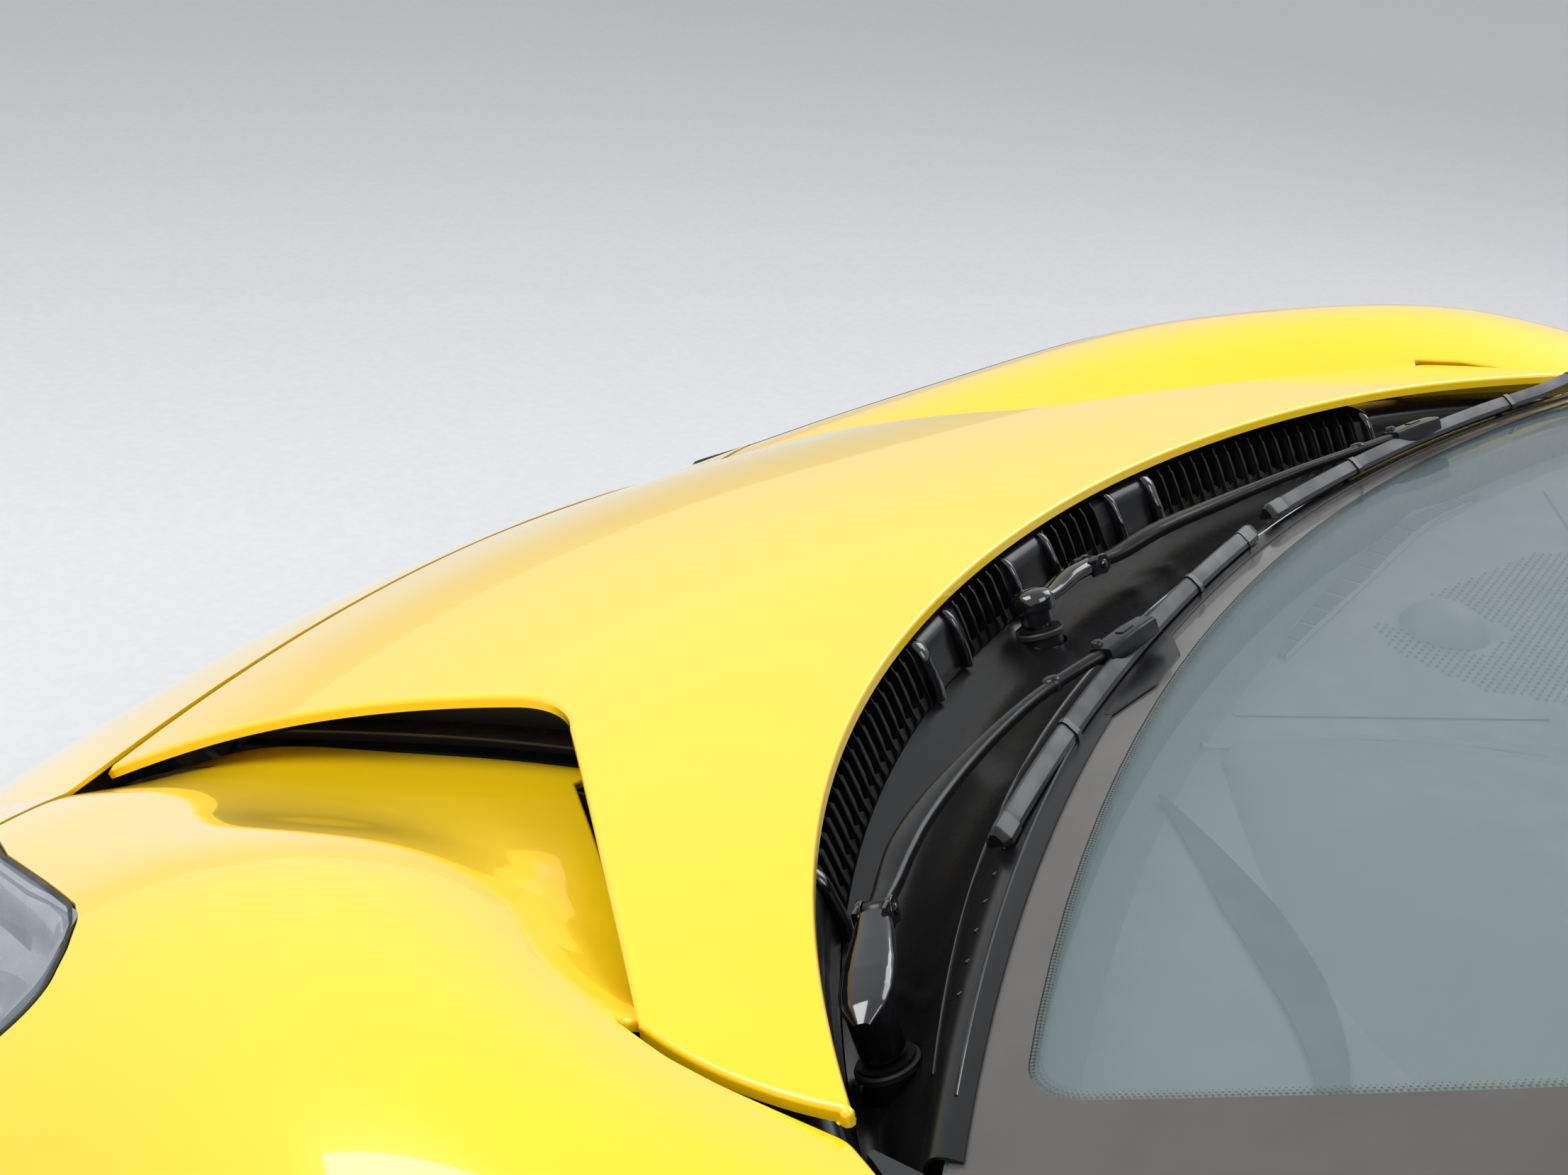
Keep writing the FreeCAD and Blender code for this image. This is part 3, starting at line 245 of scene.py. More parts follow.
def conform(lines, keep):
    """Boundary loops, material on the left, of the area kept between the given (points, closed) lines."""
    pts = []
    edges = []
    for line, closed in lines:
        k = len(pts)
        pts += [tuple(p) for p in line]
        n = len(line)
        edges += [(k + i, k + i + 1) for i in range(n - 1)]
        if closed:
            edges.append((k + n - 1, k))
    verts, faces = triangulate(pts, edges)
    centres = np.array([verts[f].mean(0) for f in faces])
    kept = [f for f, ok in zip(faces, keep(centres)) if ok]
    half_edges = dict.fromkeys((a, b) for f in kept for a, b in zip(f, f[1:] + f[:1]))
    border = {}
    for a, b in half_edges:
        if (b, a) not in half_edges:
            border.setdefault(a, []).append(b)
    loops = []
    while border:
        start = next(iter(border))
        loop = [start]
        at = border[start].pop()
        if not border[start]:
            del border[start]
        while at != start and at in border:
            loop.append(at)
            nxt = border[at].pop()
            if not border[at]:
                del border[at]
            at = nxt
        if len(loop) > 8:
            loops.append(verts[loop])
    return loops


def new_object(name, data):
    obj = bpy.data.objects.new(name, data)
    bpy.context.collection.objects.link(obj)
    return obj


def add_mesh(name, verts, faces, body, mat, normals=None):
    """New piece from points in millimetres of the car's frame."""
    mesh = bpy.data.meshes.new(name)
    pts = (np.asarray(verts, float) - ORIGIN) / 1000.0
    mesh.from_pydata([tuple(p) for p in pts], [], [tuple(int(i) for i in f) for f in faces])
    mesh.update()
    mesh.shade_smooth()
    if normals is not None:
        mesh.normals_split_custom_set_from_vertices([tuple(n) for n in normals])
    obj = new_object(name, mesh)
    mesh.materials.append(mat)
    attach(obj, body)
    return obj


def unit(v):
    return v / np.maximum(np.linalg.norm(v, axis=-1, keepdims=True), 1e-9)


def turns_left(loop):
    """Whether a closed loop runs anticlockwise."""
    x, y = loop[:, 0], loop[:, 1]
    return np.sum(x * np.roll(y, -1) - np.roll(x, -1) * y) > 0


def smooth(rows, passes):
    """Averages rows with their neighbours in place; the first and last stay."""
    for _ in range(passes):
        rows[1:-1] = 0.25 * rows[:-2] + 0.5 * rows[1:-1] + 0.25 * rows[2:]


# Angles round a rolled edge at which the skin has points
ROLL_STEPS = (0.35, 0.8, 1.25, math.pi / 2)
ON_EDGE = 1e-3


def skin_panel(name, loops, step, place, body, mat, r, wall, hem, flip=False):
    """Smooth panel over a parameter plane with rolled edges, a side wall and a folded hem."""
    segs = [(a, b) for loop in loops for a, b in zip(loop, np.roll(loop, -1, 0))]

    def normal(p):
        e = 1.0
        du = place(p + (e, 0)) - place(p - (e, 0))
        dv = place(p + (0, e)) - place(p - (0, e))
        n = unit(np.cross(du, dv))
        return -n if flip else n

    pts = []
    edges = []
    inward = []
    for loop in loops:
        k = len(pts)
        n = len(loop)
        d = unit(np.roll(loop, -1, 0) - np.roll(loop, 1, 0))
        inw = np.stack([-d[:, 1], d[:, 0]], 1)
        inward.append(inw)
        pts += list(loop)
        edges += [(k + i, k + (i + 1) % n) for i in range(n)]
    bound = np.vstack(loops)
    extra = []
    for phi in ROLL_STEPS:
        d = r * (1 - math.cos(phi))
        ring = bound + np.vstack(inward) * d
        near, _ = nearest(ring, segs)
        extra.append(ring[near > 0.85 * d])
    lo, hi = bound.min(0), bound.max(0)
    gx, gy = np.meshgrid(np.arange(lo[0], hi[0], step), np.arange(lo[1], hi[1], step))
    grid = np.stack([gx.ravel(), gy.ravel()], 1)
    ok = np.zeros(len(grid), bool)
    for loop in loops:
        ok ^= inside(grid, loop)
    grid = grid[ok]
    near, _ = nearest(grid, segs)
    grid = grid[near > r + 0.45 * step]
    allp = np.vstack([np.array(pts)] + extra + [grid])
    verts, faces = triangulate(allp, edges)
    centres = np.array([verts[f].mean(0) for f in faces])
    ok = np.zeros(len(faces), bool)
    for loop in loops:
        ok ^= inside(centres, loop)
    faces = [f for f, k in zip(faces, ok) if k]
    used = sorted({i for f in faces for i in f})
    index = {v: i for i, v in enumerate(used)}
    verts = verts[used]
    faces = [[index[i] for i in f] for f in faces]
    dist, foot = nearest(verts, segs)
    n3 = normal(verts)
    p3 = place(verts)
    t = np.clip(dist / r, 0.0, 1.0)
    rim = dist < r
    drop = np.where(rim, r - r * np.sqrt(np.clip(1 - (1 - t) ** 2, 0, 1)), 0)
    g = unit(foot - verts)
    out3 = unit(place(verts + g * 0.5) - place(verts - g * 0.5))
    on_edge = dist <= ON_EDGE
    tilt = np.where(rim & ~on_edge, 1 - t, 0.0)
    p3 = p3 - n3 * drop[:, None]
    nn = unit(n3 * np.sqrt(np.clip(1 - tilt ** 2, 0, 1))[:, None] + out3 * tilt[:, None])
    all_v = [p3]
    all_n = [nn]
    all_f = list(faces)
    k = len(p3)
    for loop, inw in zip(loops, inward):
        m = len(loop)
        base = place(loop)
        nb = normal(loop)
        out = unit(base - place(loop + inw * 0.5))
        rows = [(base - nb * r, out), (base - nb * wall, out), (base - nb * wall, -nb),
                (place(loop + inw * hem) - nb * wall, -nb)]
        for a in (0, 2):
            for q in (a, a + 1):
                all_v.append(rows[q][0])
                all_n.append(rows[q][1])
            for i in range(m):
                j = (i + 1) % m
                f = [k + i, k + m + i, k + m + j, k + j]
                all_f.append(f[::-1] if flip else f)
            k += 2 * m
        # the first row doubles as the lip's own normal
        eq = np.where(on_edge)[0]
        d2 = ((verts[eq][:, None, :] - loop[None]) ** 2).sum(2)
        hit = d2.min(1) < ON_EDGE
        nn[eq[hit]] = out[d2.argmin(1)[hit]]
    if flip:
        all_f[:len(faces)] = [f[::-1] for f in faces]
    return add_mesh(name, np.vstack(all_v), all_f, body, mat, np.vstack(all_n))


class Shape:
    """Collects closed lofts and sheets, in millimetres of the car's frame, into one piece."""

    def __init__(self):
        self.verts = []
        self.faces = []

    def rings(self, rings, ends=True):
        k = len(self.verts)
        n = len(rings[0])
        for ring in rings:
            self.verts += [tuple(p) for p in ring]
        for i in range(len(rings) - 1):
            for j in range(n):
                a = k + i * n + j
                b = k + i * n + (j + 1) % n
                self.faces.append((a, b, b + n, a + n))
        if ends:
            self.faces.append(tuple(range(k + n - 1, k - 1, -1)))
            last = k + (len(rings) - 1) * n
            self.faces.append(tuple(range(last, last + n)))

    def sheet(self, grid, thick, drop=None):
        """Sheet through a grid of points, thick millimetres below it; drop marks the cells left out."""
        n, m = grid.shape[:2]
        du = np.gradient(grid, axis=0)
        dv = np.gradient(grid, axis=1)
        nrm = unit(np.cross(du, dv))
        nrm = np.where(nrm[..., 2:] < 0, -nrm, nrm)
        flip = np.cross(du[0, 0], dv[0, 0])[2] < 0
        k = len(self.verts)
        self.verts += [tuple(p) for p in grid.reshape(-1, 3)]
        self.verts += [tuple(p) for p in (grid - nrm * thick).reshape(-1, 3)]
        low = n * m
        cells = []
        for i in range(n - 1):
            for j in range(m - 1):
                if drop is None or not drop[i, j]:
                    a = i * m + j
                    cells.append((a, a + m, a + m + 1, a + 1))
        half_edges = dict.fromkeys((a, b) for q in cells for a, b in zip(q, q[1:] + q[:1]))
        for q in cells:
            top_face = tuple(k + v for v in q)
            low_face = tuple(k + low + v for v in q[::-1])
            self.faces += [top_face[::-1], low_face[::-1]] if flip else [top_face, low_face]
        for a, b in half_edges:
            if (b, a) not in half_edges:
                side = (k + b, k + a, k + low + a, k + low + b)
                self.faces.append(side[::-1] if flip else side)

    def disc(self, ring):
        k = len(self.verts)
        self.verts += [tuple(p) for p in ring]
        self.faces.append(tuple(range(k, k + len(ring))))

    def make(self, name, mat, angle=38.0, body="front_section"):
        obj = add_mesh(name, self.verts, self.faces, body, mat)
        obj.data.set_sharp_from_angle(angle=math.radians(angle))
        return obj


def path_through(points, n):
    """Smooth path of n points through the given ones."""
    pts = np.array(points, float)
    s = np.concatenate([[0], np.cumsum(np.linalg.norm(np.diff(pts, axis=0), axis=1))])
    t = np.linspace(0, s[-1], n)
    return np.stack([spline(s, pts[:, i])(t) for i in range(3)], 1), t / s[-1]


def frames(path, up):
    """Side and up directions along a path."""
    along = unit(np.gradient(path, axis=0))
    side = unit(np.cross(along, np.broadcast_to(np.array(up, float), along.shape)))
    return side, np.cross(side, along)


def oval(centre, side, up, width, height, power=2.5, n=24):
    """Ring of a rounded section."""
    a = np.linspace(0, 2 * math.pi, n, endpoint=False)
    c, s = np.cos(a), np.sin(a)
    x = np.sign(c) * np.abs(c) ** (2 / power) * width / 2
    z = np.sign(s) * np.abs(s) ** (2 / power) * height / 2
    return centre + x[:, None] * side + z[:, None] * up


def swept(shape, points, up, widths, heights, power=2.5, n=40, sides=24):
    """Rounded bar along a smooth path; widths and heights are given at equal steps along it."""
    path, t = path_through(points, n)
    side, top_dir = frames(path, up)
    w = np.interp(t, np.linspace(0, 1, len(widths)), widths)
    h = np.interp(t, np.linspace(0, 1, len(heights)), heights)
    stations = zip(path, side, top_dir, w, h)
    shape.rings([oval(place, a, b, wide, high, power, sides) for place, a, b, wide, high in stations])


def turned(shape, centre, axis, profile, n=36):
    """Solid of revolution: profile of (radius, height) along the axis."""
    axis = unit(np.array(axis, float))
    helper = np.array([1.0, 0, 0]) if abs(axis[0]) < 0.8 else np.array([0, 1.0, 0])
    u = unit(np.cross(axis, helper))
    v = np.cross(axis, u)
    a = np.linspace(0, 2 * math.pi, n, endpoint=False)
    ring = np.cos(a)[:, None] * u + np.sin(a)[:, None] * v
    shape.rings([np.array(centre) + ring * max(r, 0.01) + axis * h for r, h in profile])


# Materials

def new_material(name, **values):
    mat = bpy.data.materials.new(name)
    mat.use_nodes = True
    for key, value in values.items():
        surface(mat.node_tree)[key.replace("_", " ")].default_value = value
    return mat, mat.node_tree


def surface(tree):
    return tree.nodes["Principled BSDF"].inputs


def noise(tree, scale, detail=2.0, stretch=None):
    coord = tree.nodes.new("ShaderNodeTexCoord")
    tex = tree.nodes.new("ShaderNodeTexNoise")
    tex.inputs["Scale"].default_value = scale
    tex.inputs["Detail"].default_value = detail
    tex.inputs["Roughness"].default_value = 0.5
    source = coord.outputs["Object"]
    if stretch:
        mapping = tree.nodes.new("ShaderNodeMapping")
        mapping.inputs["Scale"].default_value = stretch
        tree.links.new(source, mapping.inputs["Vector"])
        source = mapping.outputs["Vector"]
    tree.links.new(source, tex.inputs["Vector"])
    return tex


def spread(tree, tex, low, high):
    """Noise mapped to a range of roughness."""
    span = tree.nodes.new("ShaderNodeMapRange")
    for key, value in (("From Min", 0.35), ("From Max", 0.65), ("To Min", low), ("To Max", high)):
        span.inputs[key].default_value = value
    tree.links.new(tex.outputs["Fac"], span.inputs["Value"])
    tree.links.new(span.outputs["Result"], surface(tree)["Roughness"])


def tint(tree, tex, dark, light):
    """Noise mapped to a range of colour."""
    ramp = tree.nodes.new("ShaderNodeValToRGB")
    low, high = ramp.color_ramp.elements
    low.position = 0.3
    low.color = (*dark, 1)
    high.position = 0.7
    high.color = (*light, 1)
    tree.links.new(tex.outputs["Fac"], ramp.inputs["Fac"])
    tree.links.new(ramp.outputs["Color"], surface(tree)["Base Color"])


def bump(tree, tex, strength, distance):
    b = tree.nodes.new("ShaderNodeBump")
    b.inputs["Strength"].default_value = strength
    b.inputs["Distance"].default_value = distance
    tree.links.new(tex.outputs["Fac"], b.inputs["Height"])
    tree.links.new(b.outputs["Normal"], surface(tree)["Normal"])


def make_paint():
    mat, tree = new_material("yellow_paint", Roughness=0.32, Coat_Weight=1.0, Coat_Roughness=0.03,
                             Coat_IOR=1.5, Metallic=0.0, Specular_IOR_Level=0.4)
    tint(tree, noise(tree, 2.2, 3.0), (0.93, 0.60, 0.003), (0.96, 0.635, 0.005))
    bump(tree, noise(tree, 420.0, 1.0), 0.02, 0.0002)
    return mat


def make_plastic(name, dark, light, rough, depth, grain=900.0, coat=0.0, shine=0.5, vary=0.2):
    mat, tree = new_material(name, Roughness=rough, Coat_Weight=coat, Coat_Roughness=0.05,
                             Specular_IOR_Level=shine)
    tint(tree, noise(tree, 14.0, 4.0), dark, light)
    spread(tree, noise(tree, 30.0, 3.0), rough * (1 - vary), min(1.0, rough * (1 + vary)))
    bump(tree, noise(tree, grain), depth, 0.0003)
    return mat


def make_metal(name, dark, light, rough, metallic=1.0):
    mat, tree = new_material(name, Roughness=rough, Metallic=metallic)
    tint(tree, noise(tree, 9.0, 4.0), dark, light)
    spread(tree, noise(tree, 55.0, 3.0, (1, 8, 1)), rough * 0.75, rough * 1.3)
    return mat


def make_glass(name, colour, alpha):
    mat, tree = new_material(name, Roughness=0.02, IOR=1.5, Alpha=alpha, Specular_IOR_Level=0.6)
    tint(tree, noise(tree, 1.5), [c * 0.94 for c in colour], colour)
    return mat


PAINT = make_paint()
BLACK = make_plastic("black_moulding", (0.005, 0.005, 0.006), (0.008, 0.008, 0.009),
                     rough=0.46, grain=1400.0, depth=0.18, shine=0.3)
SATIN = make_plastic("satin_black", (0.0045, 0.0045, 0.005), (0.007, 0.007, 0.008),
                     rough=0.27, grain=1800.0, depth=0.05, shine=0.32, vary=0.06)
GLOSS = make_plastic("gloss_black", (0.004, 0.004, 0.005), (0.007, 0.007, 0.009),
                     rough=0.12, grain=300.0, depth=0.01, coat=0.8)
BLADE = make_plastic("wiper_rubber", (0.014, 0.014, 0.017), (0.022, 0.022, 0.026),
                     rough=0.42, grain=1500.0, depth=0.05, shine=0.36)
RUBBER = make_plastic("rubber", (0.010, 0.010, 0.011), (0.018, 0.018, 0.020), rough=0.55, depth=0.2)
DARK = make_metal("dark_metal", (0.02, 0.02, 0.022), (0.035, 0.035, 0.038), rough=0.45, metallic=0.2)
STEEL = make_metal("bare_metal", (0.42, 0.43, 0.45), (0.58, 0.59, 0.61), rough=0.34)
DASH = make_plastic("dash_grain", (0.150, 0.155, 0.160), (0.170, 0.175, 0.180),
                    rough=0.62, grain=1100.0, depth=0.5)
# Dark colour that stands for shade on the dashboard: painted shade in the valley at the instrument hood's
# edge, inside the demister openings and inside the grille's holes
DASH_SHADE = make_plastic("dash_painted_shade", (0.030, 0.027, 0.024), (0.040, 0.036, 0.032),
                    rough=0.7, grain=1100.0, depth=0.4)
SCREEN = make_glass("screen_glass", (0.26, 0.355, 0.37), alpha=0.27)
FRIT = make_plastic("glass_border", (0.062, 0.057, 0.052), (0.078, 0.072, 0.066),
                    rough=0.30, grain=600.0, depth=0.02, coat=0.6)
LENS = make_glass("lamp_lens", (0.50, 0.58, 0.66), alpha=0.24)
LAMP = make_plastic("lamp_inside", (0.13, 0.145, 0.165), (0.25, 0.265, 0.29),
                    rough=0.25, grain=300.0, depth=0.05, coat=0.4)
MATERIALS = {"paint": PAINT, "bare_metal": STEEL, "dark_metal": DARK, "black_plastic": BLACK,
             "gloss_black": GLOSS, "rubber": RUBBER, "screen_glass": SCREEN, "lamp_lens": LENS,
             "lamp_inside": LAMP, "dash_trim": DASH}

# Every CAD node gets its finish; the smooth painted pieces below stand for some of them.
for part in frame["record"]["subparts"]:
    node = frame["nodes"][part["node"]]
    node.data.materials.clear()
    node.data.materials.append(MATERIALS[part["material_slot"]])

# Bonnet lid
top = spline([r[0] for r in BONNET_STATIONS], [r[1] for r in BONNET_STATIONS])
fall = spline([r[0] for r in BONNET_STATIONS], [r[2] for r in BONNET_STATIONS])


def lid_place(p):
    x, y = p[:, 0], p[:, 1]
    return np.stack([x, y, top(y) - fall(y) * x ** 2 / 1000.0], 1)


def half_outline():
    """The lid's edge in plan on the left, from the middle of its rear edge to the middle of its front."""
    xs = np.linspace(0, TIP[0] - 4, 150)
    pts = [np.stack([xs, edge_y(xs)], 1)]
    tip_in = (TIP[0] - 4, float(edge_y(TIP[0] - 4)))
    tip_out = (TIP[0] + 1, TIP[1] - 7)
    corner = (FRONT_CORNER[0] - 6, FRONT_CORNER[1] - 1)
    pts.append(arc_points(tip_in, TIP, tip_out, 7)[1:])
    pts.append(arc_points(tip_out, SHUT_MID, SLANT_OUTER, 22)[1:])
    pts.append(densify([SLANT_OUTER, SLANT_INNER], 6)[1:])
    pts.append(arc_points(SLANT_INNER, LIP_CORNER, LIP_REAR, 18)[1:])
    pts.append(arc_points(LIP_REAR, LIP_MID, FRONT_CORNER, 60)[1:])
    pts.append(arc_points(corner, (0, FRONT_CENTRE_Y), (-corner[0], corner[1]), 121)[:61])
    return np.vstack(pts)


half = half_outline()
mirrored = half[1:-1] * (-1, 1)
outline = np.vstack([half, mirrored[::-1]])
if not turns_left(outline):
    outline = outline[::-1]
bonnet = skin_panel("bonnet_paint", [outline], 9.0, lid_place, "bonnet", PAINT,
                    r=3.5, wall=9.0, hem=8.0)
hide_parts("bonnet_skin")

# Wings
COLUMNS = [spline([r[0] for r in BODY_STATIONS], [r[i] for r in BODY_STATIONS]) for i in range(9)]
TABLE_STEP = 10.0
TABLE_Y = np.arange(-720.0, 521.0, TABLE_STEP)
TABLE_N = 150
ROW_PASSES = 18
TABLE_PASSES = 60
# Outside TUCK_X the wing is drawn in by this share, so that it stays inside the solid's width
TUCK_X = 700.0
TUCK = 0.005
WING_LENGTH = 1180.0


def section_points(y):
    _, t, xk, zk, xc, zc, xs, zs, zf = [float(c(y)) for c in COLUMNS]
    a = arc_points((FLOOR_X, zf), (0.5 * (FLOOR_X + xk), 0.5 * (zf + zk) - FLOOR_SAG), (xk, zk), 30)
    b = arc_points((xk, zk), (xc, zc), (xs, zs), 80)[1:]
    c = arc_points((xs, zs), (xs + 4, 0.55 * zs + 0.45 * SILL_Z), (xs - SILL_IN, SILL_Z), 40)[1:]
    return np.vstack([a, b, c])


def resample(pts, n):
    s = np.concatenate([[0], np.cumsum(np.hypot(*np.diff(pts, axis=0).T))])
    t = np.linspace(0, s[-1], n)
    return np.stack([np.interp(t, s, pts[:, 0]), np.interp(t, s, pts[:, 1])], 1)


def wing_table():
    rows = []
    for y in TABLE_Y:
        p = resample(section_points(y), TABLE_N)
        smooth(p, ROW_PASSES)
        p[:, 0] -= np.clip(p[:, 0] - TUCK_X, 0, None) * TUCK
        rows.append(p)
    table = np.array(rows)
    smooth(table, TABLE_PASSES)
    return table


WING = wing_table()


def wing_place(p):
    """Parameter plane: y, and millimetres along the section."""
    y = np.clip(p[:, 0], TABLE_Y[0], TABLE_Y[-1] - 0.01)
    v = np.clip(p[:, 1] / WING_LENGTH, 0, 0.99999) * (TABLE_N - 1)
    fy = (y - TABLE_Y[0]) / TABLE_STEP
    i = fy.astype(int)
    j = v.astype(int)
    a = (fy - i)[:, None]
    b = (v - j)[:, None]
    near = WING[i, j] * (1 - a) + WING[i + 1, j] * a
    far = WING[i, j + 1] * (1 - a) + WING[i + 1, j + 1] * a
    q = near * (1 - b) + far * b
    return np.stack([q[:, 0], y, q[:, 1]], 1)


def row_at(y):
    f = (min(max(y, TABLE_Y[0]), TABLE_Y[-1] - 0.01) - TABLE_Y[0]) / TABLE_STEP
    i = int(f)
    return WING[i] * (1 - (f - i)) + WING[i + 1] * (f - i)


def from_plan(points):
    """Plan points (x, y) to the wing's parameter plane."""
    out = []
    for x, y in points:
        row = row_at(y)
        k = int(np.argmax(row[:, 0]))
        v = np.interp(x, row[:k + 1, 0], np.arange(k + 1))
        out.append((y, v / (TABLE_N - 1) * WING_LENGTH))
    return np.array(out)


def from_side(points):
    """Side points (y, z) to the wing's parameter plane, on the part that faces outwards."""
    out = []
    for y, z in points:
        row = row_at(y)
        k = int(np.argmax(row[:, 1]))
        zs = row[k:, 1][::-1]
        v = np.interp(z, zs, np.arange(TABLE_N - 1, k - 1, -1))
        out.append((y, v / (TABLE_N - 1) * WING_LENGTH))
    return np.array(out)


def inner_region():
    g = SHUT_GAP
    return rounded_loop([
        (0, -60, 0), (SLANT_INNER[0] - 30, -60, 0), (SLANT_OUTER[0] - 16, SLANT_OUTER[1], 0),
        (SLANT_OUTER[0] + g, SLANT_OUTER[1] - 9, 0),
        (SHUT_MID[0] + g - 2, 0.5 * (SHUT_MID[1] + SLANT_OUTER[1]), 60),
        (SHUT_MID[0] + g + 1, SHUT_MID[1], 60), (TIP[0] + g + 4, TIP[1] + 5, 20),
        (712, 378, 60), (735, 450, 60), (748, 600, 0), (0, 600, 0)], 6)


INNER = inner_region()
NOSE_PLAN = densify([(-300, -1100), (1100, -1100), (1100, NOSE_OUT_Y), (700, NOSE_OUT_Y), (600, NOSE_IN_Y),
                     (340, NOSE_IN_Y), (-300, NOSE_IN_Y)], 6, True)
NOSE_SIDE = densify([(-1000, 0), (NOSE_LOW_Y, 0), NOSE_BEND, (NOSE_OUT_Y, NOSE_TOP_Z), (-1000, NOSE_TOP_Z)],
                    6, True)
LAMP_LOOP = rounded_loop(LAMP_OUTLINE, 5)


def grow(loop, d):
    """Loop moved outwards by d."""
    t = unit(np.roll(loop, -1, 0) - np.roll(loop, 1, 0))
    n = np.stack([t[:, 1], -t[:, 0]], 1)
    return loop + n * d * (1 if turns_left(loop) else -1)


LAMP_HOLE = grow(LAMP_LOOP, 3.0)


def wing_keep(p):
    q = wing_place(p)
    plan = q[:, :2]
    side = q[:, 1:]
    ok = (q[:, 1] < WING_REAR_Y) & (q[:, 1] > -640)
    ok &= ~inside(plan, INNER) & ~inside(plan, LAMP_HOLE) & ~inside(plan, NOSE_PLAN)
    flank = q[:, 0] > 700
    ok &= ~(flank & inside(side, NOSE_SIDE))
    ok &= (side[:, 0] - AXLE[0]) ** 2 + (side[:, 1] - AXLE[1]) ** 2 > ARCH_R ** 2
    return ok


def wing_loops():
    ang = np.linspace(0, 2 * math.pi, 420)
    circle = np.stack([AXLE[0] + ARCH_R * np.cos(ang), AXLE[1] + ARCH_R * np.sin(ang)], 1)
    circle = circle[circle[:, 1] > SILL_Z - 1]
    circle = circle[np.argsort(-np.arctan2(circle[:, 1] - AXLE[1], circle[:, 0] - AXLE[0]))]
    order = np.argsort(circle[:, 0])
    inner = from_plan(INNER[(INNER[:, 0] > 352) & (INNER[:, 1] < 500) & (INNER[:, 1] > -59)])
    nose_above = [(345, NOSE_IN_Y), (600, NOSE_IN_Y), (700, NOSE_OUT_Y), (900, NOSE_OUT_Y)]
    nose_beside = [(NOSE_OUT_Y, 600), (NOSE_OUT_Y, NOSE_TOP_Z), NOSE_BEND, (NOSE_LOW_Y, 150)]
    lines = [
        (densify([(-690, 0), (500, 0), (500, WING_LENGTH), (-690, WING_LENGTH)], 6, True), True),
        (from_plan(densify([(350, -60), (SLANT_INNER[0] - 30, -60)], 4)), False),
        (inner, False),
        (from_plan(LAMP_HOLE), True),
        (from_plan(densify(nose_above, 5)), False),
        (from_side(densify(nose_beside, 5)), False),
        (from_side(circle[order]), False),
        (densify([(WING_REAR_Y, 0), (WING_REAR_Y, WING_LENGTH)], 6), False),
    ]
    return conform(lines, wing_keep)


WING_LOOP = max(wing_loops(), key=len)


def wing_mirror(p):
    return wing_place(p) * (-1, 1, 1)


wing_l = skin_panel("wing_left_paint", [WING_LOOP], 10.0, wing_place, "front_section", PAINT,
                    r=3.0, wall=6.0, hem=6.0, flip=True)
wing_r = skin_panel("wing_right_paint", [WING_LOOP], 10.0, wing_mirror, "front_section", PAINT,
                    r=3.0, wall=6.0, hem=6.0)
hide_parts("wing_left")
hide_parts("wing_right")

# Headlamps
SEAL_OUT = 1.4
SEAL_R = 1.8
SEAL_DROP = 1.5
BEZEL_ROWS = (
    # inside the outline, below the skin
    (4, 5), (7, 9), (10, 22), (13, 40), (20, 44), (34, 47),
)


def lamp_points(d):
    return wing_place(from_plan(grow(LAMP_LOOP, d)))


def lens_loop():
    loop = from_plan(LAMP_LOOP)
    return loop if turns_left(loop) else loop[::-1]


def closed_tube(shape, loop, radius, drop):
    path = np.vstack([loop, loop[:1]]) - (0, 0, drop)
    along = unit(np.roll(loop, -1, 0) - np.roll(loop, 1, 0))
    along = np.vstack([along, along[:1]])
    side = unit(np.cross(along, np.broadcast_to(np.array([0.2, 0.0, 1.0]), along.shape)))
    up = np.cross(side, along)
    shape.rings([oval(p, a, b, 2 * radius, 2 * radius, 2.0, 10) for p, a, b in zip(path, side, up)], False)


for mirror, side_name in ((1, "left"), (-1, "right")):
    flip_x = np.array([mirror, 1, 1])
    lens = skin_panel("lens_" + side_name, [lens_loop()], 12.0, wing_place if mirror > 0 else wing_mirror,
                      "front_section", LENS, r=2.5, wall=4.0, hem=8.0, flip=mirror > 0)
    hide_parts("headlamp_lens_" + side_name)
    rim = Shape()
    closed_tube(rim, lamp_points(SEAL_OUT) * flip_x, SEAL_R, SEAL_DROP)
    rim.make("lens_seal_" + side_name, RUBBER)
    bezel = Shape()
    rows = [lamp_points(-d) - (0, 0, z) for d, z in BEZEL_ROWS]
    ring_grid = np.stack(rows, 1) * flip_x
    bezel.sheet(np.concatenate([ring_grid, ring_grid[:1]], 0), 1.2)
    bezel.make("lamp_bezel_" + side_name, LAMP)

# Scuttle: fins, ribs and blanks in front of the trough; places are measured back from the lid's edge
TROUGH_BACK = 24
LID_FOLD = 15.0
FIN_PROFILE = (
    # back, top, bottom
    (24, 788, 780), (20, 795, 783), (14, 806, 792), (8, 817, 793), (2, 825, 794), (-8, 829, 796),
    (-22, 830, 799), (-40, 830, 802),
)
FIN_CURL = 3.0
RIB_PROFILE = ((27, 785), (23, 795), (14, 808), (5, 820), (-12, 822), (-40, 818))
BLANK_PROFILE = ((23.5, 783), (21, 791), (14, 804), (4, 820), (-14, 821), (-40, 815))
RIBS = (
    # x, width
    (197, 12), (31, 7), (139, 7), (481, 9),
)
BLANKS = ((-28, 28), (143, 192), (486, 664), (-192, -143), (-664, -486))


def under_lid(x, y, z):
    """Height z, held below the lid's folded edge where the lid is above."""
    lid = float(top(y) - fall(y) * x * x / 1000.0) - LID_FOLD
    return min(z, lid) if y < float(edge_y(x)) + 5 else z


def slope_turn(x):
    """Direction across the lid's rear edge in plan."""
    k = float(edge_y(x + 1) - edge_y(x - 1)) / 2
    return unit(np.array([-0.45 * k, 1.0]))


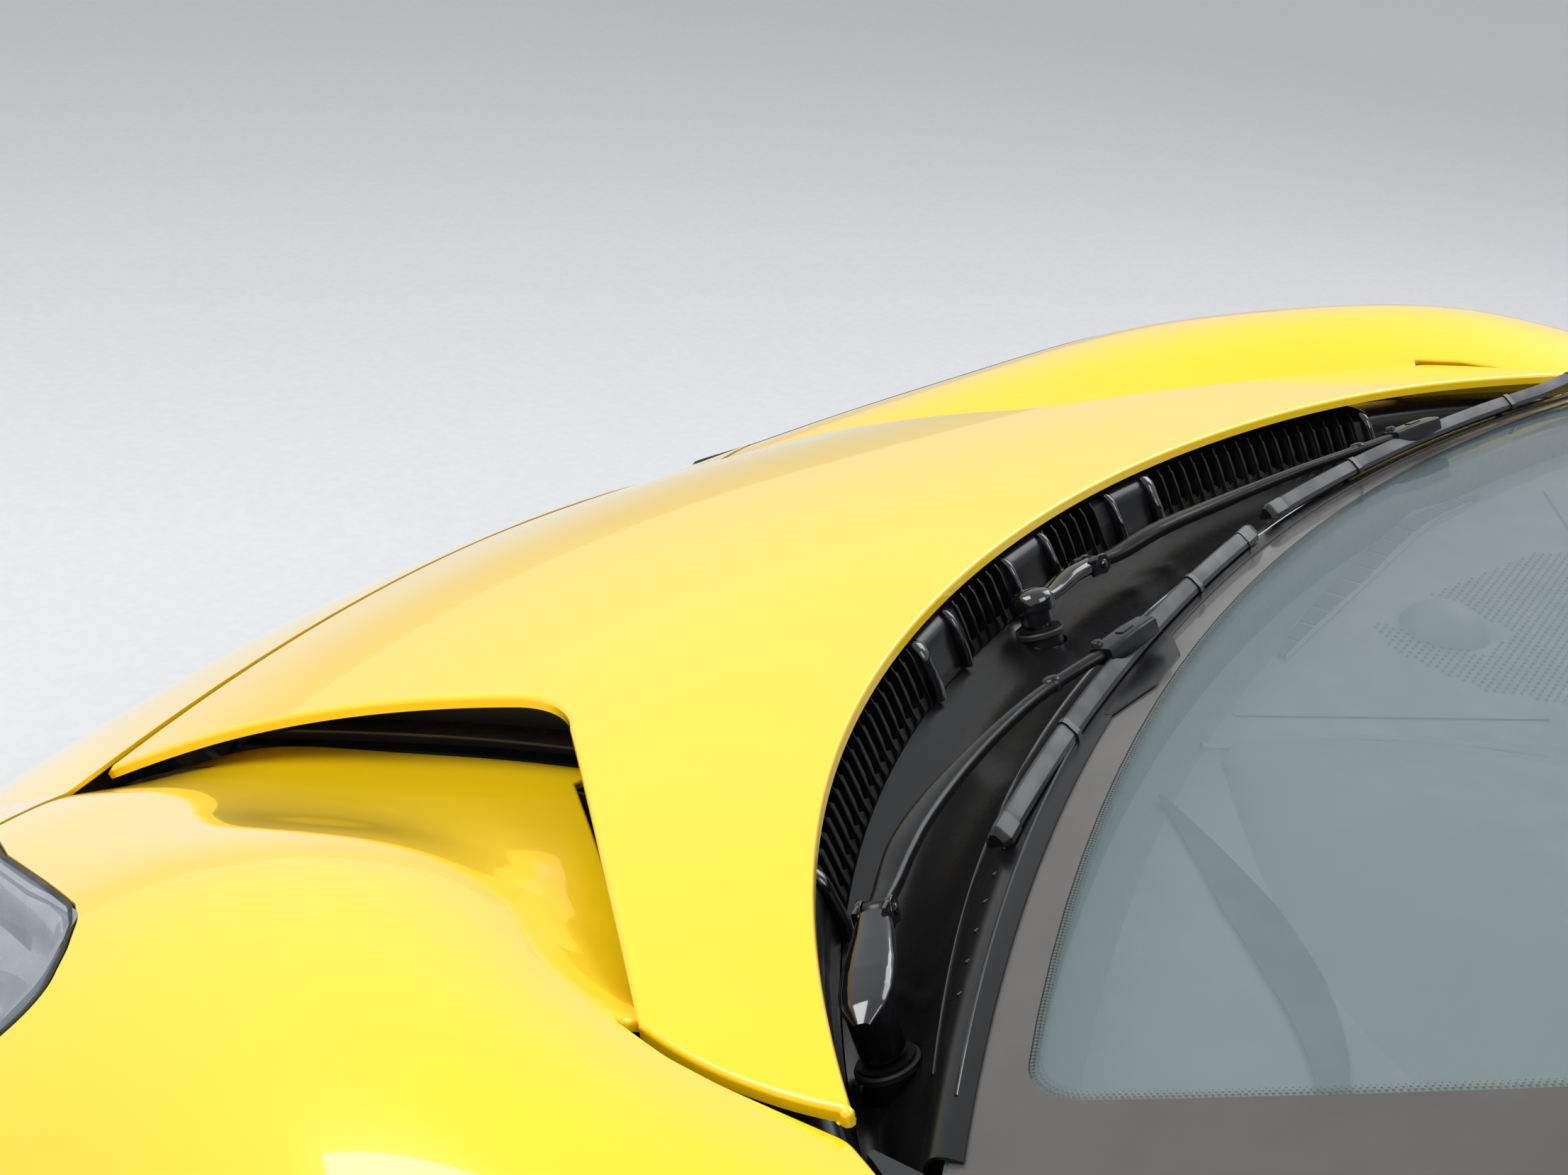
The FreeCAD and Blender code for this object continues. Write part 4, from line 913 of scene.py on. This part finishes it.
def edge_point(x, back):
    d = slope_turn(x)
    past = back - TROUGH_BACK
    return x + d[0] * past, float(edge_y(x)) + TROUGH_BACK + d[1] * past


def under_lid_points(x, profile):
    pts = []
    for back, z in profile:
        px, py = edge_point(x, back)
        pts.append((px, py, under_lid(px, py, z)))
    return pts


def add_fin(shape, x, half=0.9):
    rings = []
    for i, (back, top_z, low_z) in enumerate(FIN_PROFILE):
        px, py = edge_point(x, back)
        px += FIN_CURL * math.sin(math.pi * i / (len(FIN_PROFILE) - 1))
        top_z = under_lid(px, py, top_z)
        rings.append(np.array([(px - half, py, low_z), (px + half, py, low_z),
                               (px + half * 0.6, py, top_z), (px - half * 0.6, py, top_z)]))
    shape.rings(rings)


fins = Shape()
ribs = Shape()
blanks = Shape()
for sign in (1, -1):
    for lo, hi in LOUVRE_GROUPS:
        for x in np.arange(lo, hi + 1, LOUVRE_PITCH):
            add_fin(fins, sign * x)
    for x, width in RIBS:
        pts = np.array(under_lid_points(sign * x, [(back, z + 5) for back, z in RIB_PROFILE])) - (0, 0, 5)
        swept(ribs, pts, (0, 0.5, 1), [width * 0.8, width, width, width], [9, 10, 10, 10], 3.2, 24, 16)
for x0, x1 in BLANKS:
    xs = np.linspace(x0, x1, max(6, int(abs(x1 - x0) / 7)))
    rows = [path_through(under_lid_points(x, BLANK_PROFILE), 16)[0] for x in xs]
    blanks.sheet(np.array(rows), 2.0)
fins.make("scuttle_fins", SATIN, 50.0)
ribs.make("scuttle_ribs", GLOSS)
blanks.make("scuttle_blanks", SATIN)


# Wiper planes and places
def plane_z(x, y, tangent):
    m = tangent / 1000.0
    k = GLASS_PLAN * GLASS_SLOPE
    return GLASS_Z + GLASS_SLOPE * (y - GLASS_Y) - 2 * k * m * (x / 1000.0 - m) - k * m * m


def plane_normal(tangent):
    k = GLASS_PLAN * GLASS_SLOPE / 1000.0
    return unit(np.array([2 * k * tangent / 1000.0, -GLASS_SLOPE, 1.0]))


def on_plane(p, tangent, height):
    return np.array([p[0], p[1], plane_z(p[0], p[1], tangent) + height])


WIPERS = {
    "left": {
        "tangent": 250.0, "spindle": (576, 280), "spindle_h": -6.0, "post_gap": 34.0, "hinge_h": 6.0,
        "arm": ((506, 246), (450, 228), (389, 217), (293, 216), (240, 222), (190, 238)),
        "link": ((200, 236), (150, 245)), "blade": (432, 277, -72, 235), "blade_h": 12.0,
    },
    "centre": {
        "tangent": -250.0, "spindle": (52, 118), "spindle_h": 4.0, "post_gap": 22.0, "hinge_h": 8.0,
        "arm": ((-28, 131), (-80, 146), (-150, 170), (-240, 215), (-300, 246), (-345, 271)),
        "link": ((-330, 263), (-378, 283)), "blade": (-112, 232, -628, 352), "blade_h": 15.0,
    },
}
ARM_H = 20.0
BLADE_BOW = 13.0
BLADE_CLIPS = (0.27, 0.76)
BLADE_ENDS = (
    # start, end, scale at the start, scale at the end
    ((0.0, 0.012, 0.72, 1.10), (0.014, 0.045, 1.12, 1.12)),
    ((0.955, 0.986, 1.12, 1.12), (0.988, 1.0, 1.10, 0.72)),
)
POST_HOLE_R = 18.6
TROUGH_N = 36
# Turned profiles, as radius and height
CAP = ((0.01, -9), (15.5, -9), (16.5, -7), (16.5, 1), (15, 4.5), (11, 7), (5, 8.2), (0.01, 8.5))
SPINDLE = ((0.01, 0), (7.9, 0), (7.9, 56), (0.01, 56))
KNUCKLE = ((0.01, -2), (7.4, -2), (8, -1.4), (8, 1.4), (7.4, 2), (0.01, 2))
RIVET = ((3.4, -1), (3.4, 0.9), (2.6, 1.5), (0.01, 1.6))
ARM_EYE = ((0.01, -6.3), (6.3, -6.3), (6.8, -5.6), (6.8, 5.6), (6.3, 6.3), (0.01, 6.3))
ARM_BOSS = ((0.01, -4), (6.5, -4), (6.5, 3), (5, 5), (2, 5.6), (0.01, 5.6))
LINK_PIN = ((0.01, 2), (4, 2), (4, 8), (3, 9), (0.01, 9))
POST_SEAL = ((16.2, -3), (17.6, -3), (18.4, -2), (18.4, 1), (17.4, 2), (16.2, 2), (16.2, -3))
STUD = ((0.01, -1.0), (1.9, -1.0), (1.9, 0.5), (1.2, 0.8), (0.01, 0.8))


def push_out(grid, centre, axis, r):
    """Points of a sheet near an axis moved out to radius r; returns the cells that fall in the hole."""
    d = grid - centre
    radial = d - (d @ axis)[..., None] * axis
    dist = np.linalg.norm(radial, axis=-1)
    near = dist < r
    grid[near] += (unit(radial) * (r - dist)[..., None])[near]
    return near[:-1, :-1] & near[1:, :-1] & near[:-1, 1:] & near[1:, 1:]


# Trough and glass strip as one moulding
def trough_row(x):
    foot = float(edge_y(x)) + TROUGH_BACK
    g = float(glass_y(x))
    w = g - foot
    pts = [(x, foot + 0.3, 783.0), (x, foot + 0.13 * w, 781.3), (x, foot + 0.30 * w, 781.5),
           (x, foot + 0.46 * w, 791.5), (x, foot + 0.66 * w, 809.0), (x, g - 6.0, 851.8),
           (x, g + 9.0, float(glass_z(x, g + 9.0)) + 3.4)]
    return path_through(pts, TROUGH_N)[0]


trough = Shape()
cover = np.array([trough_row(x) for x in np.linspace(-STRIP_HALF, STRIP_HALF, 341)])
dropped = np.zeros((cover.shape[0] - 1, cover.shape[1] - 1), bool)
for w in WIPERS.values():
    post = on_plane(w["spindle"], w["tangent"], w["spindle_h"])
    dropped |= push_out(cover, post, plane_normal(w["tangent"]), POST_HOLE_R)
trough.sheet(cover, 1.6, dropped)
strip_cover = trough.make("trough_and_strip", SATIN, 60.0)
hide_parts("glass_strip")
seams = Shape()
for reach, share in ((600, 0.60), (640, 0.93)):
    path = np.array([trough_row(x)[int(share * (TROUGH_N - 1))] for x in np.linspace(-reach, reach, 90)])
    side, up = frames(path, (0, -0.6, 1))
    seams.rings([oval(p, q, r, 1.8, 1.8, 2.0, 8) for p, q, r in zip(path, side, up)])
for x in np.arange(-560, 561, 28.0):
    turned(seams, trough_row(x)[int(0.80 * (TROUGH_N - 1))], (0, -0.72, 0.7), STUD, 12)
seams.make("strip_seams", GLOSS)

BLADE_RING = (
    # across, up
    (-7.4, -5.6), (7.4, -5.6), (7.2, -2.2), (3.2, 4.2), (1.2, 5.8), (-1.2, 5.4), (-4.2, 0.6), (-7.2, -2.2),
)


def blade_path(w, n):
    x0, y0, x1, y1 = w["blade"]
    pts = []
    for t in np.linspace(0, 1, n):
        x = x0 + (x1 - x0) * t
        y = y0 + (y1 - y0) * t - BLADE_BOW * 4 * t * (1 - t)
        z = max(float(glass_z(x, y)), plane_z(x, y, w["tangent"]) - BLADE_BOW)
        pts.append((x, y, z + w["blade_h"]))
    path = np.array(pts)
    smooth(path[:, 2], 1)
    return path


def blade_rings(path, n, t0, t1, scale0, scale1, count):
    side, up = frames(path, n)
    ts = np.linspace(t0, t1, count) * (len(path) - 1)
    rings = []
    for i, t in enumerate(ts):
        k = int(round(t))
        j = min(int(t), len(path) - 2)
        f = t - j
        p = path[j] * (1 - f) + path[j + 1] * f
        s = scale0 + (scale1 - scale0) * i / max(count - 1, 1)
        rings.append(np.array([p + side[k] * a * s + up[k] * b * s for a, b in BLADE_RING]))
    return rings


for name, w in WIPERS.items():
    n = plane_normal(w["tangent"])
    spindle = on_plane(w["spindle"], w["tangent"], w["spindle_h"])
    hinge, ahead = [on_plane(p, w["tangent"], w["hinge_h"]) for p in w["arm"][:2]]
    along = unit(ahead - hinge)
    pin = unit(np.cross(along, n))
    reach = hinge - spindle
    head = Shape()
    if name == "left":
        pts = [spindle - reach * 0.26 - n * 1.0, spindle - reach * 0.12, spindle + reach * 0.10,
               spindle + reach * 0.35, spindle + reach * 0.70 + n * 0.5, hinge - along * 9]
        swept(head, pts, n, [9, 25, 30, 31, 30, 27, 24, 20], [5, 12, 15, 17, 17, 17, 16, 15], 2.2, 60, 36)
    else:
        turned(head, spindle, n, CAP, 40)
        pts = [spindle - n * 1.5, spindle + reach * 0.3 - n * 2.5, spindle + reach * 0.62 + n * 1.0,
               hinge - along * 9]
        swept(head, pts, n, [22, 21, 20, 19], [11, 12, 14, 15], 2.3, 40, 28)
    gap = w["post_gap"]
    turned(head, spindle - n * gap, n, [(12.6, 3.2), (13, 4), (13, gap - 2), (10, gap)], 32)
    turned(head, spindle - n * 60, n, SPINDLE, 24)
    for k in (-1, 1):
        ear = hinge + pin * k * 9.0
        turned(head, ear, pin, KNUCKLE, 28)
        turned(head, hinge + pin * k * 11.0, pin * k, RIVET, 16)
        cheek = [ear - along * 12, ear - along * 5, ear]
        swept(head, cheek, n, [3.6, 3.8, 3.8], [15, 15.5, 14.5], 4.0, 8, 16)
    obj = head.make("head_" + name, GLOSS, 45.0, "wiper_%s_head" % name)
    on_arm = "wiper_%s_arm" % name
    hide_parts("wiper_head_" + name)

    arm = Shape()
    turned(arm, hinge, pin, ARM_EYE, 28)
    pts = [hinge + along * 3, hinge + along * 14, hinge + along * 26]
    rise = ARM_H - w["hinge_h"]
    for i, p in enumerate(w["arm"][1:]):
        pts.append(on_plane(p, w["tangent"], w["hinge_h"] + rise * min(1.0, (i + 1) / 3.0)))
    swept(arm, pts, n, [12, 17, 20, 19, 17, 14, 11.5, 10, 9.5, 9.5, 9.5],
          [10, 12, 12, 11.5, 11, 10, 9, 8.5, 8, 8, 8], 2.6, 90, 28)
    boss = on_plane(w["arm"][4], w["tangent"], ARM_H)
    turned(arm, boss - pin * 2, n, ARM_BOSS, 24)
    obj = arm.make("arm_" + name, SATIN, 50.0, on_arm)
    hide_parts("wiper_arm_" + name)
    link = Shape()
    a, b = [on_plane(p, w["tangent"], ARM_H - 1.0) for p in w["link"]]
    swept(link, [a, a * 0.5 + b * 0.5, b], n, [18, 20, 20, 18], [12, 14, 14, 12], 6.0, 18, 32)
    mid = a * 0.45 + b * 0.55 + n * 7.0
    swept(link, [mid - unit(b - a) * 6, mid, mid + unit(b - a) * 6], n, [7, 7], [1.6, 1.6], 7.0, 6, 20)
    turned(link, a * 0.8 + b * 0.2 - pin * 8, n, LINK_PIN, 18)
    link.make("link_" + name, SATIN, 50.0, on_arm)

    path = blade_path(w, 61)
    blade = Shape()
    blade.rings(blade_rings(path, n, 0.012, 0.988, 1.0, 1.0, 50))
    obj = blade.make("blade_" + name, BLADE, 25.0, on_arm)
    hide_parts("wiper_blade_" + name)
    caps = Shape()
    for first, second in BLADE_ENDS:
        caps.rings(blade_rings(path, n, *first, 3) + blade_rings(path, n, *second, 3))
    for t in BLADE_CLIPS:
        caps.rings(blade_rings(path, n, t - 0.006, t + 0.006, 1.2, 1.2, 3))
    caps.make("blade_clips_" + name, SATIN, 25.0, on_arm)
    collar = Shape()
    turned(collar, spindle - n * (gap + 4), n, POST_SEAL, 36)
    collar.make("post_seal_" + name, RUBBER)


# Windscreen border and its dots
BORDER_IN = np.array([32.0, 62.0, 70.0])
BORDER_R = 60.0
BORDER_LIFT = 1.3
DOT_LIFT = 1.2
DOT_ROWS = (
    # inside the border, radius
    (1.6, 0.9), (3.6, 0.65), (5.4, 0.4),
)
DOTS_A_ROW = 1300
HEX_TURN = np.linspace(0, 2 * math.pi, 6, endpoint=False)
HEXAGON = np.stack([np.cos(HEX_TURN), np.sin(HEX_TURN)], 1)


def side_x(y):
    y0 = float(glass_y(GLASS_BASE_X))
    y1 = float(glass_y(GLASS_TOP_X)) + GLASS_RUN
    t = (y - y0) / (y1 - y0)
    bow = GLASS_SIDE_MID[0] - 0.5 * (GLASS_BASE_X + GLASS_TOP_X)
    return GLASS_BASE_X + (GLASS_TOP_X - GLASS_BASE_X) * t + 4 * bow * t * (1 - t)


def screen_loop(base, side, head_gap, r, n):
    """Loop on the glass, base millimetres from its foot, side from the sides, head_gap from the top."""
    x0 = GLASS_BASE_X - side
    low = [(x, float(glass_y(x)) + base, 0) for x in np.linspace(-x0 + 60, x0 - 60, 25)]
    y0 = float(glass_y(x0)) + base
    y1 = float(glass_y(GLASS_TOP_X)) + GLASS_RUN - head_gap
    ys = np.linspace(y0 + 70, y1 - 60, 9)
    right_side = [(side_x(y) - side, y, 0) for y in ys]
    xt = side_x(y1) - side
    high = [(x, float(glass_y(x)) + GLASS_RUN - head_gap, 0) for x in np.linspace(xt - 50, -xt + 50, 17)]
    corners = low + [(side_x(y0) - side, y0, r)] + right_side + [(xt, y1, r)] + high
    corners += [(-xt, y1, r)] + [(-x, y, 0) for x, y, _ in right_side[::-1]] + [(-side_x(y0) + side, y0, r)]
    loop = rounded_loop(corners, 6)
    start = int(np.argmin(np.abs(loop[:, 0]) + 10 * (loop[:, 1] > 700)))
    loop = np.roll(loop, -start, 0)
    return resample(np.vstack([loop, loop[:1]]), n)


def on_glass(p, lift):
    return np.stack([p[:, 0], p[:, 1], glass_z(p[:, 0], p[:, 1]) + lift], 1)


border = Shape()
outer_loop = screen_loop(2.0, 1.5, 2.0, 6.0, 560)
inner_loop = screen_loop(*BORDER_IN, BORDER_R, 560)
bands = [on_glass(outer_loop * (1 - t) + inner_loop * t, BORDER_LIFT) for t in np.linspace(0, 1, 9)]
border.sheet(np.stack(bands, 1), 0.3)
border.make("screen_border", FRIT)
dots = Shape()
for inset, r in DOT_ROWS:
    for p in screen_loop(*(BORDER_IN + inset), BORDER_R, DOTS_A_ROW)[:-1]:
        dots.disc(on_glass(p[None] + HEXAGON * r, DOT_LIFT))
dots.make("border_dots", FRIT)

# Strip tab on the glass
tab = Shape()
rows = []
for x in np.linspace(132, 262, 27):
    reach = float(np.interp(x, (132, 166, 218, 262), (10, 26, 26, 9)))
    y = float(glass_y(x)) + np.linspace(3, reach, 8)
    rows.append(on_glass(np.stack([np.full(8, x), y], 1), 4.2 - 1.2 * np.linspace(0, 1, 8) ** 3))
tab.sheet(np.array(rows), 2.2)
tab.make("strip_tab", SATIN)

# Dashboard details under the glass
DASH_Z = float(glass_z(0.0, GLASS_Y + 60)) - 60
HOOD = (
    # y, centre x, half width, rise
    (330, 190, 20, 6), (400, 205, 120, 22), (480, 220, 190, 34), (560, 235, 220, 42), (620, 245, 225, 40),
)


def dash_height(x, y):
    """Top of the dashboard or of the instrument hood on it."""
    z = DASH_Z - 6.0 * np.clip((y - float(glass_y(x)) - 60) / 180.0, 0, 1)
    if HOOD[0][0] < y < HOOD[-1][0]:
        ys = [r[0] for r in HOOD]
        cx, w, h = (float(np.interp(y, ys, [r[i] for r in HOOD])) for i in (1, 2, 3))
        if abs(x - cx) < w:
            rise = 8.0 + h
            r = (w * w + rise * rise) / (2 * rise)
            z = max(z, DASH_Z - 8.0 + rise - r + math.sqrt(r * r - (x - cx) ** 2))
    return float(z)


def on_dash(points, lift):
    return np.array([(x, y, dash_height(x, y) + lift) for x, y in points])


# Demister openings drawn as dark sheets on the dashboard: painted shade inside the openings
cells = Shape()
VENT = ((36, 307), (-20, 304), (-150, 305), (-290, 312), (-380, 338))
route, _ = path_through([(x, y, 0) for x, y in VENT], 105)
side, _ = frames(route, (0, 0, 1))
for i in range(0, 104, 8):
    rows = []
    for p, q in zip(route[i:i + 8], side[i:i + 8]):
        w = 8.5 * math.sin(math.pi * min(max((np.linalg.norm(p - route[0]) + 14) / 440.0, 0), 1)) ** 0.6
        rows.append(on_dash([(p - q * w * t)[:2] for t in np.linspace(-1, 1, 5)], 2.4))
    cells.sheet(np.array(rows), 0.8)
cells.make("demister_opening_shade", DASH_SHADE)

seam = Shape()
WIDE_SEAM = 7.0
DASH_SEAMS = (
    # plan points, width
    (((194, 311), (137, 390), (78, 520)), WIDE_SEAM),
    (((139, 312), (62, 400), (-22, 496)), 2.6),
    (((-430, 380), (-250, 470), (76, 520)), 5.0),
)
for pts, width in DASH_SEAMS:
    route, _ = path_through([(x, y, 0) for x, y in pts], 60)
    route = on_dash(route[:, :2], 0.8)
    swept(seam, route[::4], (0, 0, 1), [width, width], [width * 0.6, width * 0.6], 2.2, 60, 12)
    if width < WIDE_SEAM:
        continue
    side, _ = frames(route, (0, 0, 1))
    for p, q in zip(route, side):
        c = p + q * 6.5 + (0, 0, 1.0)
        d = unit(route[-1] - route[0])
        swept(seam, [c - d * 1.6, c, c + d * 1.6], (0, 0, 1), [1.0, 1.5, 1.0], [0.8, 1.2, 0.8], 2.0, 5, 8)
seam.make("dash_seams", DASH)

# Painted shade: a dark sheet on the dashboard along the shaded valley at the instrument hood's edge
fold_shade = Shape()
FOLD_SHADE_LINE = (
    # x, y, half width
    (270, 314, 1.5), (300, 350, 10), (345, 400, 17), (395, 448, 17), (442, 482, 12), (492, 506, 7),
)
route, t = path_through([(x, y, 0) for x, y, _ in FOLD_SHADE_LINE], 60)
half_width = np.interp(t, np.linspace(0, 1, len(FOLD_SHADE_LINE)), [w for _, _, w in FOLD_SHADE_LINE])
side, _ = frames(route, (0, 0, 1))
rows = []
for p, q, w in zip(route, side, half_width):
    rows.append(on_dash([(p + q * w * k)[:2] for k in np.linspace(-1, 1, 7)], 2.2))
fold_shade.sheet(np.array(rows), 0.8)
fold_shade.make("dash_painted_shade", DASH_SHADE)

# Grille holes drawn as dark discs on the dashboard: painted shade inside the holes
hole_shades = Shape()
MESH_AREA = np.array([(-34, 372), (-60, 345), (-75, 344), (-78, 425), (-135, 430), (-150, 360), (-290, 405),
                      (-330, 440), (-330, 560), (-60, 520), (-22, 440)], float)
MESH_PITCH = (7.0, 5.5)
mesh_rows = enumerate(np.arange(340, 562, MESH_PITCH[1]))
spots = np.array([(x + 0.5 * MESH_PITCH[0] * (k % 2), y)
                  for k, y in mesh_rows for x in np.arange(-332, -20, MESH_PITCH[0])])
for spot in spots[inside(spots, MESH_AREA)]:
    hole_shades.disc(on_dash(spot + HEXAGON * (1.7, 1.2), 0.9))
hole_shades.make("dash_mesh_hole_shade", DASH_SHADE)

# Camera, floor and light
CAMERA_PLACE = Vector((1.332, 0.182, 1.034))
CAMERA_YAW = -0.537
CAMERA_PITCH = 0.454
CAMERA_ROLL = 0.0807
FOCAL_PX = 2862.0
FRAME_WIDTH_PX = 2212.0
SENSOR_WIDTH = 36.0
look = Vector((-math.cos(CAMERA_YAW) * math.cos(CAMERA_PITCH), math.sin(CAMERA_YAW) * math.cos(CAMERA_PITCH),
               -math.sin(CAMERA_PITCH)))
level_right = look.cross(Vector((0, 0, 1))).normalized()
level_up = level_right.cross(look)
right = math.cos(CAMERA_ROLL) * level_right + math.sin(CAMERA_ROLL) * level_up
up = -math.sin(CAMERA_ROLL) * level_right + math.cos(CAMERA_ROLL) * level_up
cam_data = bpy.data.cameras.new("camera")
cam_data.sensor_width = SENSOR_WIDTH
cam_data.lens = FOCAL_PX / FRAME_WIDTH_PX * SENSOR_WIDTH
cam = new_object("camera", cam_data)
basis = Matrix((right, up, -look)).transposed().to_4x4()
cam.matrix_world = Matrix.Translation(CAMERA_PLACE) @ basis
bpy.context.scene.camera = cam

# Metres, like the camera's place
FLOOR_HALF = 14.0
FLOOR_Z = -0.44
floor_mat, tree = new_material("floor", Roughness=0.7)
tint(tree, noise(tree, 60.0, 3.0), (0.60, 0.61, 0.62), (0.63, 0.64, 0.65))
corners = [(FLOOR_HALF * x, FLOOR_HALF * y, FLOOR_Z) for x, y in ((-1, -1), (1, -1), (1, 1), (-1, 1))]
floor_mesh = bpy.data.meshes.new("floor")
floor_mesh.from_pydata(corners, [], [(0, 1, 2, 3)])
floor_mesh.materials.append(floor_mat)
new_object("floor", floor_mesh)


def area_light(name, pos, target, size, energy, colour=(1, 1, 1)):
    data = bpy.data.lights.new(name, "AREA")
    data.shape = "RECTANGLE"
    data.size, data.size_y = size
    data.energy = energy
    data.color = colour
    obj = new_object(name, data)
    obj.location = pos
    obj.rotation_euler = (Vector(target) - Vector(pos)).to_track_quat("-Z", "Y").to_euler()


area_light("key", (1.5, -2.5, 3.6), (0, -0.3, 0.3), (3.0, 2.0), 130)
area_light("fill", (-3.2, 0.5, 3.0), (0, 0, 0.3), (2.4, 2.4), 70, (0.96, 0.98, 1.0))
area_light("back", (0.5, 3.4, 3.2), (0, 0, 0.4), (3.0, 1.6), 60)
world = bpy.data.worlds.new("world")
bpy.context.scene.world = world
world.use_nodes = True
sky = world.node_tree.nodes["Background"].inputs
sky["Color"].default_value = (0.86, 0.88, 0.9, 1)
sky["Strength"].default_value = 0.75
bpy.context.scene.view_settings.view_transform = "Standard"
